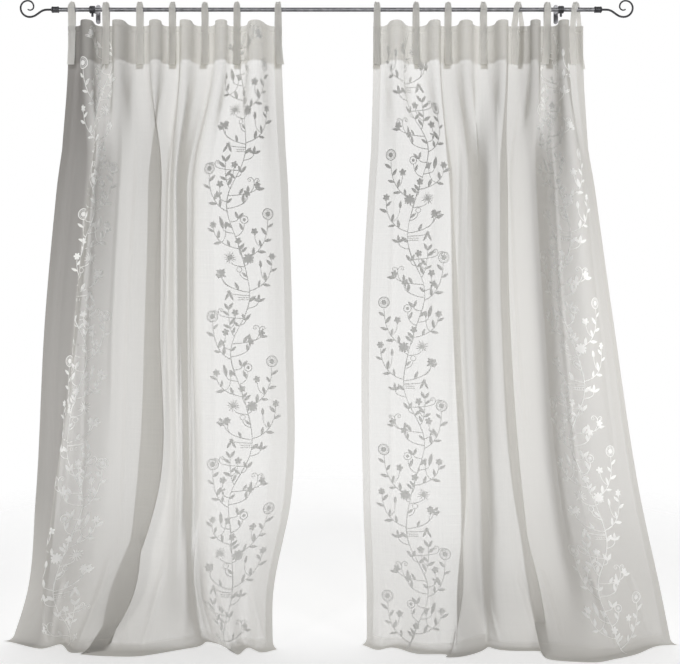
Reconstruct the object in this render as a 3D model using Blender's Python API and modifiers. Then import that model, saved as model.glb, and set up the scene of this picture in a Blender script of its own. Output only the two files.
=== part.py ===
"""Two sheer voile curtains tied over one iron rod with scroll ends.

Metres, +Z up, +X along the rod, the wall at y = 0 and the room towards -Y.
The origin is on the wall, midway between the brackets, level with the rod's axis.
Each cloth is a flat sheet bent by drape(), which maps a place on the cut cloth, so far across
and so far down, to the place where it hangs.
"""

import math
from collections import namedtuple

import bmesh
import bpy
import numpy as np
from mathutils import Matrix, Vector

# Rod and its fittings
ROD_RADIUS = 0.008
ROD_HALF_LENGTH = 1.002
STAND_OFF = 0.100
FLOOR_BELOW_ROD = 2.380
GAP = 0.0003
COLLAR_LENGTH = 0.029
COLLAR_PROFILE = (  # along, radius
    (0.000, 0.0085),
    (0.003, 0.0125),
    (0.008, 0.0115),
    (0.021, 0.0115),
    (0.026, 0.0125),
    (COLLAR_LENGTH, 0.0085),
)
SCROLL_BAR = (0.0085, 0.0050)
SCROLL_LEAD = 0.017
SCROLL_BENDS = (  # radius of the bend, degrees turned (up is positive), straight run after it
    (0.041, -36, 0.019),
    (0.043, 36, 0.0),
    (0.034, 90, 0.0),
    (0.027, 90, 0.0),
    (0.022, 90, 0.0),
    (0.0135, 90, 0.0),
    (0.012, 45, 0.0),
)
BEND_STEP = 11.25
BRACKET_X = 0.878
CLAMP_BORE = 0.0084
CLAMP_RADIUS = 0.01425
CLAMP_LENGTH = 0.020
ARM_RADIUS = 0.005
PLATE_SIZE = (0.017, 0.004, 0.074)
SCREW_PROFILE = (  # along, radius
    (0.000, 0.0),
    (0.000, 0.0035),
    (-0.002, 0.0045),
    (-0.010, 0.0045),
    (-0.012, 0.0035),
    (-0.012, 0.0),
)

# Cloth
CUT_WIDTH = 1.400
CUT_DROP = 2.360
HEADING_BELOW_ROD = 0.062
HEADING_RISE = 0.013
RISE_FADE = 0.300
STITCH_DROP = 0.022
FACING_DROP = 0.142
CLOTH_THICKNESS = 0.001
LAYER_OFFSET = 0.0016
LANDING_RADIUS = 0.020
HEM_LIFT = 0.024
HEADING_FOLDS_KEPT = (0.10, 0.62)
BULGE_CELLS = 9
PANEL_ROWS = (0.0, FACING_DROP, 0.24, 0.38, 0.60, 0.95, 1.35, 1.70, 1.92, 2.10, 2.23, 2.30, 2.33, CUT_DROP)
LEVELS = (0.46, 1.10, 1.78, 2.16, CUT_DROP)
SAMPLES = 561

# Ties
TIE_THICKNESS = 0.001
FRONT_TIE_OFFSET = 0.0016
BACK_TIE_OFFSET = 0.0032
LOOP_CLEARANCE = 0.0105
CROWN_HEIGHT = 0.029
CROWN_STEPS = 4
FRONT_TAIL = 0.122
BACK_TAIL = 0.138

# One row per fold line, from the leading edge outwards: place across the cut cloth, distance of
# the fold from the rod's middle at five levels, and how far it reaches forward (1) or back (-1).
Fold = namedtuple("Fold", "across chest waist knee ankle hem reach reach_hem")
LEFT_FOLDS = (
    Fold(0.000, 0.151, 0.130, 0.134, 0.202, 0.200, -0.30, -0.20),
    Fold(0.200, 0.319, 0.304, 0.297, 0.319, 0.308, 0.35, 0.50),
    Fold(0.395, 0.486, 0.486, 0.467, 0.445, 0.409, 0.00, 0.20),
    Fold(0.470, 0.524, 0.524, 0.505, 0.494, 0.460, -1.00, -0.70),
    Fold(0.600, 0.560, 0.557, 0.542, 0.527, 0.501, 0.90, 0.80),
    Fold(0.700, 0.598, 0.609, 0.605, 0.635, 0.659, -0.30, -0.30),
    Fold(0.800, 0.679, 0.691, 0.725, 0.824, 0.897, -0.90, -0.80),
    Fold(0.900, 0.610, 0.621, 0.636, 0.729, 0.813, 0.35, 0.50),
    Fold(1.080, 0.752, 0.778, 0.827, 0.887, 0.942, 0.05, 0.20),
    Fold(1.255, 0.862, 0.929, 1.013, 1.054, 1.025, 1.00, 1.00),
    Fold(1.285, 0.857, 0.924, 1.010, 1.051, 1.043, 0.30, 0.40),
    Fold(1.400, 1.008, 1.065, 1.099, 1.137, 1.196, -0.55, -0.30),
)
RIGHT_FOLDS = (
    Fold(0.000, 0.165, 0.133, 0.137, 0.150, 0.151, -0.20, -0.20),
    Fold(0.200, 0.322, 0.315, 0.322, 0.322, 0.315, 0.30, 0.50),
    Fold(0.385, 0.471, 0.493, 0.519, 0.501, 0.461, 0.40, 0.60),
    Fold(0.425, 0.456, 0.475, 0.505, 0.486, 0.451, -0.10, 0.00),
    Fold(0.550, 0.539, 0.550, 0.577, 0.581, 0.577, -1.00, -0.80),
    Fold(0.680, 0.597, 0.604, 0.630, 0.641, 0.643, 0.90, 0.80),
    Fold(0.790, 0.670, 0.681, 0.733, 0.804, 0.840, 0.60, 0.90),
    Fold(0.860, 0.649, 0.656, 0.705, 0.761, 0.790, -0.20, 0.20),
    Fold(0.990, 0.775, 0.805, 0.847, 0.897, 0.934, -1.00, -0.80),
    Fold(1.090, 0.836, 0.858, 0.903, 0.970, 1.015, 0.15, 0.00),
    Fold(1.200, 0.903, 0.948, 0.988, 1.055, 1.096, 0.90, 0.90),
    Fold(1.400, 0.996, 1.083, 1.185, 1.264, 1.296, -0.50, -0.30),
)

# How far the hem is kicked forward along its length, place by place across the cut cloth. A part
# of it is already there at the ankle.
Kick = namedtuple("Kick", "across forward")
LEFT_KICKS = (
    Kick(0.00, 0.025),
    Kick(0.10, 0.045),
    Kick(0.20, -0.010),
    Kick(0.27, 0.050),
    Kick(0.35, 0.010),
    Kick(0.48, -0.055),
    Kick(0.60, 0.005),
    Kick(0.72, 0.065),
    Kick(0.80, 0.060),
    Kick(0.95, 0.030),
    Kick(1.05, 0.045),
    Kick(1.18, -0.050),
    Kick(1.27, 0.000),
    Kick(1.40, -0.040),
)
RIGHT_KICKS = (
    Kick(0.00, -0.020),
    Kick(0.06, 0.020),
    Kick(0.12, -0.010),
    Kick(0.26, 0.050),
    Kick(0.35, 0.060),
    Kick(0.48, 0.090),
    Kick(0.60, -0.010),
    Kick(0.68, 0.010),
    Kick(0.80, 0.030),
    Kick(0.90, 0.120),
    Kick(1.02, 0.130),
    Kick(1.12, 0.090),
    Kick(1.22, 0.050),
    Kick(1.30, 0.000),
    Kick(1.40, 0.000),
)
KICK_SHARES = {"ankle": 0.30, "hem": 1.0}

# One row per tie, from the leading edge outwards: its distance from the rod's middle, the flat
# width of heading it is stitched to, the widths of its front and back strands, how far the two
# stand apart, and how far the free ends of its front and back tails swing outwards.
Tie = namedtuple("Tie", "middle flat front back spread front_swing back_swing")
LEFT_TIES = (
    Tie(0.182, 0.029, 0.027, 0.027, 0.000, -0.009, 0.003),
    Tie(0.336, 0.029, 0.027, 0.027, 0.000, 0.002, -0.004),
    Tie(0.456, 0.029, 0.027, 0.027, 0.000, -0.002, 0.005),
    Tie(0.578, 0.029, 0.027, 0.027, 0.000, 0.002, -0.002),
    Tie(0.700, 0.029, 0.027, 0.027, 0.000, -0.001, 0.004),
    Tie(0.827, 0.029, 0.027, 0.027, 0.000, 0.002, 0.006),
    Tie(0.955, 0.029, 0.027, 0.027, 0.000, 0.003, -0.004),
)
RIGHT_TIES = (
    Tie(0.189, 0.029, 0.027, 0.027, 0.000, 0.003, -0.002),
    Tie(0.335, 0.029, 0.027, 0.027, 0.000, 0.002, 0.006),
    Tie(0.455, 0.029, 0.027, 0.027, 0.000, 0.003, -0.005),
    Tie(0.588, 0.029, 0.027, 0.027, 0.000, -0.002, 0.004),
    Tie(0.718, 0.054, 0.023, 0.018, 0.014, 0.002, -0.004),
    Tie(0.827, 0.029, 0.027, 0.027, 0.000, -0.010, 0.010),
    Tie(0.935, 0.054, 0.023, 0.018, 0.014, 0.004, 0.012),
)
# How far the crown of each bulge between two ties leans outwards, as a share of its depth.
LEFT_LEANS = (0.10, -0.12, 0.08, -0.10, 0.12, -0.06)
RIGHT_LEANS = (-0.08, 0.12, -0.10, 0.10, -0.10, 0.06)
Curtain = namedtuple("Curtain", "name side folds kicks ties leans")
CURTAINS = (
    Curtain("left", -1, LEFT_FOLDS, LEFT_KICKS, LEFT_TIES, LEFT_LEANS),
    Curtain("right", 1, RIGHT_FOLDS, RIGHT_KICKS, RIGHT_TIES, RIGHT_LEANS),
)


def smooth_step(value):
    value = min(max(value, 0.0), 1.0)
    return value * value * (3 - 2 * value)


def smooth_curve(at, knots, values):
    """Cubic through the values at uneven knots, with slopes from the neighbours on both sides."""
    at = np.asarray(at, float)
    knots = np.asarray(knots, float)
    values = np.asarray(values, float)
    steps = np.diff(knots)
    rises = np.diff(values) / steps
    slopes = np.empty(len(knots))
    slopes[0] = rises[0]
    slopes[-1] = rises[-1]
    slopes[1:-1] = (rises[:-1] * steps[1:] + rises[1:] * steps[:-1]) / (steps[:-1] + steps[1:])
    cell = np.clip(np.searchsorted(knots, at, side="right") - 1, 0, len(steps) - 1)
    step = steps[cell]
    u = (at - knots[cell]) / step
    start = (2 * u**3 - 3 * u**2 + 1) * values[cell] + (u**3 - 2 * u**2 + u) * step * slopes[cell]
    end = (3 * u**2 - 2 * u**3) * values[cell + 1] + (u**3 - u**2) * step * slopes[cell + 1]
    return start + end


def length_of(x, y):
    return np.concatenate(((0.0,), np.cumsum(np.hypot(np.diff(x), np.diff(y)))))


def halve(low, high, too_low):
    """The value between low and high where too_low turns false, by halving."""
    for _ in range(40):
        middle = (low + high) / 2
        if too_low(middle):
            low = middle
        else:
            high = middle
    return (low + high) / 2


def body_section(curtain, level):
    """Plan of the cloth at one level: the fold depth is the one that uses up the cut width."""
    folds = curtain.folds
    across = np.linspace(0.0, CUT_WIDTH, SAMPLES)
    knots = [fold.across for fold in folds]
    x = smooth_curve(across, knots, [getattr(fold, level) for fold in folds])
    reaches = [fold.reach_hem if level == "hem" else fold.reach for fold in folds]
    reach = smooth_curve(across, knots, reaches)
    kick_knots = [kick.across for kick in curtain.kicks]
    kick = smooth_curve(across, kick_knots, [kick.forward for kick in curtain.kicks])
    kick = kick * KICK_SHARES.get(level, 0.0)
    depth = halve(0.0, 0.3, lambda d: length_of(x, d * reach + kick)[-1] < CUT_WIDTH)
    run = length_of(x, depth * reach + kick)
    even = np.linspace(0.0, run[-1], SAMPLES)
    return np.interp(even, run, x), np.interp(even, run, depth * reach + kick)


def bulge(arc, chord, lean):
    """A meander of the stated arc over the stated chord: the cloth between two ties."""
    turn = 2 * math.pi * (np.arange(60) + 0.5) / 60

    def heading(swing):
        return swing * np.sin(turn)

    swing = halve(0.3, 2.3, lambda s: np.cos(heading(s)).mean() * arc > chord)
    x = np.concatenate(((0.0,), np.cumsum(np.cos(heading(swing))))) * arc / 60
    y = np.concatenate(((0.0,), np.cumsum(np.sin(heading(swing))))) * arc / 60
    return x + lean * y, y


def heading_section(curtain):
    """Plan of the heading: flat where a tie is stitched on, a forward bulge in each span."""
    ties = curtain.ties
    arc = (CUT_WIDTH - sum(tie.flat for tie in ties)) / (len(ties) - 1)
    x = [ties[0].middle - ties[0].flat / 2]
    y = [0.0]
    for number, tie in enumerate(ties):
        x.append(tie.middle + tie.flat / 2)
        y.append(0.0)
        if number < len(ties) - 1:
            start = x[-1]
            chord = ties[number + 1].middle - ties[number + 1].flat / 2 - start
            bulge_x, bulge_y = bulge(arc, chord, curtain.leans[number])
            x.extend(start + bulge_x[1:])
            y.extend(bulge_y[1:])
    run = length_of(x, y)
    even = np.linspace(0.0, run[-1], SAMPLES)
    return np.interp(even, run, x), np.interp(even, run, y)


def across_grid(curtain):
    """Lines across the cut cloth: both edges of each tie, and even cells over each bulge."""
    arc = (CUT_WIDTH - sum(tie.flat for tie in curtain.ties)) / (len(curtain.ties) - 1)
    lines = [0.0]
    for number, tie in enumerate(curtain.ties):
        lines.append(lines[-1] + tie.flat)
        if number < len(curtain.ties) - 1:
            start = lines[-1]
            lines.extend(start + arc * (cell + 1) / BULGE_CELLS for cell in range(BULGE_CELLS))
    return lines


def tie_places(curtain):
    """Where the middle of each tie is on the cut cloth."""
    arc = (CUT_WIDTH - sum(tie.flat for tie in curtain.ties)) / (len(curtain.ties) - 1)
    start = 0.0
    places = []
    for tie in curtain.ties:
        places.append(start + tie.flat / 2)
        start += tie.flat + arc
    return places


def curtain_folds(curtain):
    """The sections that drape() reads, each a pair of rows: distance from the middle, reach forward."""
    names = Fold._fields[1:6]
    body = [body_section(curtain, name) for name in names]
    return {"heading": heading_section(curtain), "body": body, "side": curtain.side, "ties": curtain.ties}


def heading_rise(ties, across):
    """How far the top edge stands up at a place in a span between two ties."""
    arc = (CUT_WIDTH - sum(tie.flat for tie in ties)) / (len(ties) - 1)
    start = ties[0].flat
    for tie in ties[1:]:
        if start < across < start + arc:
            return HEADING_RISE * math.sin(math.pi * (across - start) / arc) ** 2
        start += arc + tie.flat
    return 0.0


def landing(across, drop):
    """How far the cloth has come down and how far it lies out along the floor.

    Towards the hem the cloth is taken up unevenly, so some of the hem hangs just clear.
    """
    taken_up = 0.5 + 0.5 * math.sin(across * 13.0 + 2.0)
    drop -= HEM_LIFT * taken_up * (drop / CUT_DROP) ** 6
    fall = FLOOR_BELOW_ROD - HEADING_BELOW_ROD - CLOTH_THICKNESS
    bend_start = fall - LANDING_RADIUS
    bend = drop - bend_start
    quarter = LANDING_RADIUS * math.pi / 2
    if bend <= 0:
        return drop, 0.0
    if bend < quarter:
        angle = bend / LANDING_RADIUS
        return bend_start + LANDING_RADIUS * math.sin(angle), LANDING_RADIUS * (1 - math.cos(angle))
    return fall, LANDING_RADIUS + bend - quarter


def drape(cloth, across, drop):
    """The hanging place of a point of the cut cloth, on the middle of its thickness."""
    index = min(max(across / CUT_WIDTH, 0.0), 1.0) * (SAMPLES - 1)
    places = range(SAMPLES)

    def read(section):
        return np.array((np.interp(index, places, section[0]), np.interp(index, places, section[1])))

    body = np.array([read(section) for section in cloth["body"]])
    level = max(drop, LEVELS[0])
    hang = np.array([smooth_curve(level, LEVELS, body[:, 0]), smooth_curve(level, LEVELS, body[:, 1])])
    first, last = HEADING_FOLDS_KEPT
    kept = 1 - smooth_step((drop - first) / (last - first))
    hang = hang + kept * (read(cloth["heading"]) - hang)
    fallen, lying = landing(across, drop)
    outer = across / CUT_WIDTH
    swing = math.radians(-40 * (1 - outer) ** 3 + 65 * outer**5 + 14 * math.sin(outer * 21))
    out = hang[0] + lying * math.sin(swing)
    forward = hang[1] + lying * math.cos(swing)
    rise = heading_rise(cloth["ties"], across) * (1 - smooth_step(drop / RISE_FADE))
    return Vector((cloth["side"] * out, -STAND_OFF - forward, rise - HEADING_BELOW_ROD - fallen))


def room_normal(cloth, across, drop):
    """The cloth's normal on the room side."""
    near = 0.001
    along = drape(cloth, across + near, drop) - drape(cloth, across - near, drop)
    down = drape(cloth, across, drop + near) - drape(cloth, across, drop)
    return (down.cross(along) * cloth["side"]).normalized()


def material(name, colour, roughness, metallic=0.0):
    made = bpy.data.materials.new(name)
    made.use_nodes = True
    shader = made.node_tree.nodes["Principled BSDF"]
    shader.inputs["Base Color"].default_value = (*colour, 1.0)
    shader.inputs["Roughness"].default_value = roughness
    shader.inputs["Metallic"].default_value = metallic
    return made


def add_object(name, data, finish, collection):
    piece = bpy.data.objects.new(name, data)
    data.materials.append(finish)
    collection.objects.link(piece)
    return piece


def mesh_object(name, shape, finish, collection):
    data = bpy.data.meshes.new(name)
    shape.to_mesh(data)
    shape.free()
    return add_object(name, data, finish, collection)


def sheet(name, lines, rows, place, finish, collection):
    """An open grid, each point moved to its hanging place, thickened evenly both ways."""
    shape = bmesh.new()
    bmesh.ops.create_grid(shape, x_segments=len(lines) - 1, y_segments=len(rows) - 1, size=1.0)
    for point in shape.verts:
        column = round((point.co.x + 1) / 2 * (len(lines) - 1))
        row = round((1 - point.co.y) / 2 * (len(rows) - 1))
        point.co = place(lines[column], rows[row])
    piece = mesh_object(name, shape, finish, collection)
    thick = piece.modifiers.new("thickness", "SOLIDIFY")
    thick.thickness = CLOTH_THICKNESS
    thick.offset = 0.0
    piece.data.shade_smooth()
    return piece


def panel(curtain, cloth, finish, collection):
    def place(across, drop):
        return drape(cloth, across, drop)

    return sheet(f"panel_{curtain.name}", across_grid(curtain), PANEL_ROWS, place, finish, collection)


def facing(curtain, cloth, finish, collection):
    """The strip behind the heading: the same folds, one layer further back."""

    def place(across, drop):
        return drape(cloth, across, drop) - room_normal(cloth, across, drop) * LAYER_OFFSET

    rows = (0.0, FACING_DROP)
    return sheet(f"facing_{curtain.name}", across_grid(curtain), rows, place, finish, collection)


def tie_stations(tie, place, cloth):
    """Along the band from the front tail's end over the rod to the back tail's end.

    Each station is the middle of the band, half its width as a vector, the outward direction,
    and its two faces' distances outward from the loop and inward.
    """
    side = cloth["side"]
    stations = []

    def on_cloth(drop, offset, shift, outward):
        normal = room_normal(cloth, place, drop)
        along = Vector((normal.y, -normal.x, 0.0)).normalized() * side
        middle = drape(cloth, place, drop) + normal * offset - along * shift
        half = along * (tie.front if outward > 0 else tie.back) / 2
        stations.append((middle, half, normal * outward, TIE_THICKNESS / 2, TIE_THICKNESS / 2))

    def in_air(height, forward, shift):
        middle = Vector((side * (tie.middle + shift), -STAND_OFF - forward, height))
        outward = Vector((0.0, -1.0 if forward > 0 else 1.0, 0.0))
        half = Vector((-side * (tie.front if forward > 0 else tie.back) / 2, 0.0, 0.0))
        stations.append((middle, half, outward, TIE_THICKNESS / 2, TIE_THICKNESS / 2))

    for share in (1.0, 0.6, 0.25):
        swing = tie.front_swing * share**2
        lift = 0.002 * share + 0.6 * abs(swing)
        on_cloth(STITCH_DROP + FRONT_TAIL * share, FRONT_TIE_OFFSET + lift, swing - tie.spread, 1.0)
    on_cloth(STITCH_DROP, FRONT_TIE_OFFSET, -tie.spread, 1.0)
    on_cloth(0.0, FRONT_TIE_OFFSET, -tie.spread, 1.0)
    in_air(-0.030, LOOP_CLEARANCE * 0.72, -tie.spread * 0.8)
    for step in range(CROWN_STEPS + 1):
        angle = math.pi * step / CROWN_STEPS
        around = Vector((0.0, -math.cos(angle), math.sin(angle)))
        height = CROWN_HEIGHT - LOOP_CLEARANCE
        middle = Vector((side * tie.middle, -STAND_OFF, 0.0)) + around * LOOP_CLEARANCE
        middle.x += side * tie.spread * 0.6 * -math.cos(angle)
        outer = TIE_THICKNESS / 2 + height * math.sin(angle) ** 2
        width = tie.front + (tie.back - tie.front) * step / CROWN_STEPS
        width += 0.6 * tie.spread * math.sin(angle)
        stations.append((middle, Vector((-side * width / 2, 0.0, 0.0)), around, outer, TIE_THICKNESS / 2))
    in_air(-0.030, -LOOP_CLEARANCE * 0.76, tie.spread * 0.8)
    on_cloth(0.0, -BACK_TIE_OFFSET, tie.spread, -1.0)
    on_cloth(STITCH_DROP, -BACK_TIE_OFFSET, tie.spread, -1.0)
    for share in (0.3, 0.65, 1.0):
        swing = tie.back_swing * share**2
        on_cloth(STITCH_DROP + BACK_TAIL * share, -BACK_TIE_OFFSET - 0.002 * share, tie.spread + swing, -1.0)
    return stations


def tie_band(name, tie, place, cloth, finish, collection):
    """A flat band through its stations, thickest where it is bunched over the rod."""
    shape = bmesh.new()
    rings = []
    for middle, half, outward, outer, inner in tie_stations(tie, place, cloth):
        corners = (
            middle - half + outward * outer,
            middle + half + outward * outer,
            middle + half - outward * inner,
            middle - half - outward * inner,
        )
        rings.append([shape.verts.new(corner) for corner in corners])
    for ring, following in zip(rings, rings[1:]):
        for corner in range(4):
            after = (corner + 1) % 4
            shape.faces.new((ring[corner], ring[after], following[after], following[corner]))
    shape.faces.new(rings[0])
    shape.faces.new(rings[-1])
    bmesh.ops.recalc_face_normals(shape, faces=shape.faces)
    return mesh_object(name, shape, finish, collection)


def turned(name, profile, axis, place, finish, collection, steps=24):
    """A profile of (along, radius) pairs spun about X or Z."""
    shape = bmesh.new()
    for along, radius in profile:
        shape.verts.new((along, 0.0, radius) if axis == "X" else (radius, 0.0, along))
    shape.verts.ensure_lookup_table()
    for first, second in zip(shape.verts[:-1], shape.verts[1:]):
        shape.edges.new((first, second))
    if profile[0] == profile[-1]:
        bmesh.ops.remove_doubles(shape, verts=shape.verts, dist=0.00001)
    piece = mesh_object(name, shape, finish, collection)
    piece.location = place
    spin = piece.modifiers.new("turn", "SCREW")
    spin.axis = axis
    spin.steps = steps
    spin.render_steps = steps
    spin.use_merge_vertices = True
    spin.merge_threshold = 0.00005
    spin.use_normal_calculate = True
    return piece


def rod(finish, collection):
    shape = bmesh.new()
    turn = Matrix.Translation((0.0, -STAND_OFF, 0.0)) @ Matrix.Rotation(math.pi / 2, 4, "Y")
    bmesh.ops.create_cone(
        shape,
        cap_ends=True,
        segments=32,
        radius1=ROD_RADIUS,
        radius2=ROD_RADIUS,
        depth=2 * ROD_HALF_LENGTH,
        matrix=turn,
    )
    return mesh_object("rod", shape, finish, collection)


def collar(curtain, finish, collection):
    """The end collar, screwed up against the end of the rod."""
    start = ROD_HALF_LENGTH + GAP
    profile = [(0.0, 0.0), *COLLAR_PROFILE, (COLLAR_LENGTH, 0.0)]
    if curtain.side < 0:
        profile = [(-along, radius) for along, radius in profile]
    place = (curtain.side * start, -STAND_OFF, 0.0)
    return turned(f"collar_{curtain.name}", profile, "X", place, finish, collection)


def scroll_route():
    """The bar's middle line: a straight lead and then bend after bend."""
    out = ROD_HALF_LENGTH + COLLAR_LENGTH + 2 * GAP
    place = Vector((out, 0.0))
    heading = 0.0
    route = [place.copy(), place + Vector((SCROLL_LEAD, 0.0))]
    place = route[-1].copy()
    for radius, turned_by, straight in SCROLL_BENDS:
        steps = max(1, round(abs(turned_by) / BEND_STEP))
        step = math.radians(turned_by) / steps
        for _ in range(steps):
            heading += step / 2
            chord = 2 * radius * math.sin(abs(step) / 2)
            place = place + Vector((math.cos(heading), math.sin(heading))) * chord
            heading += step / 2
            route.append(place.copy())
        if straight:
            place = place + Vector((math.cos(heading), math.sin(heading))) * straight
            route.append(place.copy())
    return route


def scroll(curtain, finish, collection):
    """The forged scroll, drawn out thinner towards its tip."""
    route = scroll_route()
    line = bpy.data.curves.new(f"scroll_{curtain.name}", "CURVE")
    line.dimensions = "3D"
    line.bevel_depth = SCROLL_BAR[0] / 2
    line.bevel_resolution = 2
    line.use_fill_caps = True
    spline = line.splines.new("POLY")
    spline.points.add(len(route) - 1)
    for number, (point, place) in enumerate(zip(spline.points, route)):
        share = number / (len(route) - 1)
        point.co = (curtain.side * place.x, -STAND_OFF, place.y, 1.0)
        point.radius = 1 + (SCROLL_BAR[1] / SCROLL_BAR[0] - 1) * share
    return add_object(f"scroll_{curtain.name}", line, finish, collection)


def clamp(curtain, finish, collection):
    """The bracket's ring round the rod, its rims eased."""
    half = CLAMP_LENGTH / 2
    rim = 0.0015
    outline = (
        (-half, CLAMP_BORE),
        (half, CLAMP_BORE),
        (half, CLAMP_RADIUS - rim),
        (half - rim, CLAMP_RADIUS),
        (-half + rim, CLAMP_RADIUS),
        (-half, CLAMP_RADIUS - rim),
        (-half, CLAMP_BORE),
    )
    place = (curtain.side * BRACKET_X, -STAND_OFF, 0.0)
    return turned(f"clamp_{curtain.name}", outline, "X", place, finish, collection)


def union(base, other):
    join = base.modifiers.new("weld", "BOOLEAN")
    join.operation = "UNION"
    join.object = other
    other.hide_render = True
    other.display_type = "WIRE"


def bracket(curtain, finish, collection, cutters):
    """The wall plate with rounded ends, and the arm welded to it."""
    width, depth, height = PLATE_SIZE
    x = curtain.side * BRACKET_X
    shape = bmesh.new()
    bmesh.ops.create_cube(shape, size=1.0)
    bmesh.ops.scale(shape, vec=PLATE_SIZE, verts=shape.verts)
    bmesh.ops.translate(shape, vec=(x, -depth / 2, 0.0), verts=shape.verts)
    corners = [edge for edge in shape.edges if abs(edge.verts[0].co.y - edge.verts[1].co.y) > depth / 2]
    bmesh.ops.bevel(shape, geom=corners, offset=width * 0.49, segments=6, profile=0.5, affect="EDGES")
    plate = mesh_object(f"bracket_{curtain.name}", shape, finish, collection)
    front = -STAND_OFF + CLAMP_RADIUS + GAP
    back = -depth / 2
    arm = bmesh.new()
    turn = Matrix.Translation((x, (front + back) / 2, 0.0)) @ Matrix.Rotation(math.pi / 2, 4, "X")
    bmesh.ops.create_cone(
        arm,
        cap_ends=True,
        segments=20,
        radius1=ARM_RADIUS,
        radius2=ARM_RADIUS,
        depth=back - front,
        matrix=turn,
    )
    union(plate, mesh_object(f"arm_{curtain.name}", arm, finish, cutters))
    return plate


def set_screw(curtain, finish, collection):
    """The thumb screw that stands under the clamp ring."""
    place = (curtain.side * BRACKET_X, -STAND_OFF, -CLAMP_RADIUS - GAP)
    return turned(f"screw_{curtain.name}", SCREW_PROFILE, "Z", place, finish, collection, steps=16)


def new_collection(name):
    made = bpy.data.collections.new(name)
    bpy.context.scene.collection.children.link(made)
    return made


def main():
    for leftover in list(bpy.data.objects):
        bpy.data.objects.remove(leftover)
    parts = new_collection("voile_curtains_on_rod")
    cutters = new_collection("cutters")
    voile = material("voile", (0.86, 0.86, 0.83), 0.85)
    heading_voile = material("heading_voile", (0.78, 0.78, 0.75), 0.85)
    tie_voile = material("tie_voile", (0.80, 0.80, 0.77), 0.80)
    iron = material("forged_iron", (0.10, 0.10, 0.11), 0.45, 0.8)
    rod(iron, parts)
    for curtain in CURTAINS:
        collar(curtain, iron, parts)
        scroll(curtain, iron, parts)
        clamp(curtain, iron, parts)
        bracket(curtain, iron, parts, cutters)
        set_screw(curtain, iron, parts)
        cloth = curtain_folds(curtain)
        panel(curtain, cloth, voile, parts)
        facing(curtain, cloth, heading_voile, parts)
        for number, (tie, place) in enumerate(zip(curtain.ties, tie_places(curtain)), 1):
            tie_band(f"tie_{curtain.name}_{number}", tie, place, cloth, tie_voile, parts)


main()
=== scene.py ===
# %% [markdown]
# # Two embroidered voile curtains on an iron rod
#
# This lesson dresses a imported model: a pair of sheer curtains, tied over one wall-mounted rod
# with scroll ends. The rod and its fittings keep their solids and get better metal. The cloth,
# the ties and the embroidery are made here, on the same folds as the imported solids.
# Everything is in metres, +Z is up, the wall is at y = 0 and the room is towards -Y.

# %% Load the frame
import math
from collections import namedtuple

import bpy
import numpy as np
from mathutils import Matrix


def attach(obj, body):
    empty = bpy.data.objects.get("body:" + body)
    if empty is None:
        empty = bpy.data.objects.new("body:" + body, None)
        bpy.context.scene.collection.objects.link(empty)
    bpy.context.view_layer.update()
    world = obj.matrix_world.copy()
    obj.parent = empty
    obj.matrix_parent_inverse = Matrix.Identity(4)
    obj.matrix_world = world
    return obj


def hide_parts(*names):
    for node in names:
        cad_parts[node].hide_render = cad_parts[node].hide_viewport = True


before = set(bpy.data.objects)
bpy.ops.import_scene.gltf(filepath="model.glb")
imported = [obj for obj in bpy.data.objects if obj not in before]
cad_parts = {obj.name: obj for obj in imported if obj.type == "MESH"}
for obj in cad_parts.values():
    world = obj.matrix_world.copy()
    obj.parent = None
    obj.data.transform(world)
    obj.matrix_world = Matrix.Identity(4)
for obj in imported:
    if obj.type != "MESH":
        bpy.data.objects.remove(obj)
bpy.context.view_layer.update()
bpy.ops.object.select_all(action="DESELECT")
print("nodes", len(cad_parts))

# %% [markdown]
# ## The camera
#
# A product view of curtains is taken square-on, with the lens at eye height. The picture is
# framed by shifting the lens down instead of tilting it, so that upright edges stay upright.

# %% Camera
EYE_HEIGHT = -0.78
camera = bpy.data.objects.new("camera", bpy.data.cameras.new("camera"))
bpy.context.scene.collection.objects.link(camera)
camera.location = (0.05, -4.2, EYE_HEIGHT)
camera.rotation_euler = (math.radians(90), 0, 0)
camera.data.lens = 57.9
camera.data.sensor_width = 36.0
camera.data.shift_y = -0.168
bpy.context.scene.camera = camera
print("camera at", tuple(camera.location))

# %% [markdown]
# ## Nodes in a few words
#
# The sky and every finish are made of nodes. These helpers keep that short: one fills sockets
# with values or links, by name or by number, and the others add the nodes that come up often.


# %% Node helpers
def set_inputs(tree, node, **inputs):
    for name, value in inputs.items():
        label = int(name[1:]) if name[1:].isdigit() else name.replace("_", " ")
        if isinstance(value, bpy.types.NodeSocket):
            tree.links.new(value, node.inputs[label])
        else:
            node.inputs[label].default_value = value


def add_node(tree, kind, settings=None, **inputs):
    made = tree.nodes.new(kind)
    for name, value in (settings or {}).items():
        setattr(made, name, value)
    set_inputs(tree, made, **inputs)
    return made


def math_node(tree, operation, first, second=0.0, third=0.0, clamp=False):
    settings = {"operation": operation, "use_clamp": clamp}
    return add_node(tree, "ShaderNodeMath", settings, _0=first, _1=second, _2=third).outputs[0]


def colour_mix(tree, share, first, second):
    colours = {"_6": (*first, 1.0), "_7": (*second, 1.0)}
    return add_node(tree, "ShaderNodeMix", {"data_type": "RGBA"}, _0=share, **colours).outputs[2]


def shader_mix(tree, share, first, second):
    shaders = {"_1": first.outputs[0], "_2": second.outputs[0]}
    return add_node(tree, "ShaderNodeMixShader", None, _0=share, **shaders)


def relief(tree, height, strength, distance):
    bump = add_node(tree, "ShaderNodeBump", None, Height=height, Strength=strength, Distance=distance)
    return bump.outputs[0]


def noise(tree, place, scale, detail):
    made = add_node(tree, "ShaderNodeTexNoise", None, Vector=place, Scale=scale, Detail=detail)
    return made.outputs["Fac"]


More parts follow.
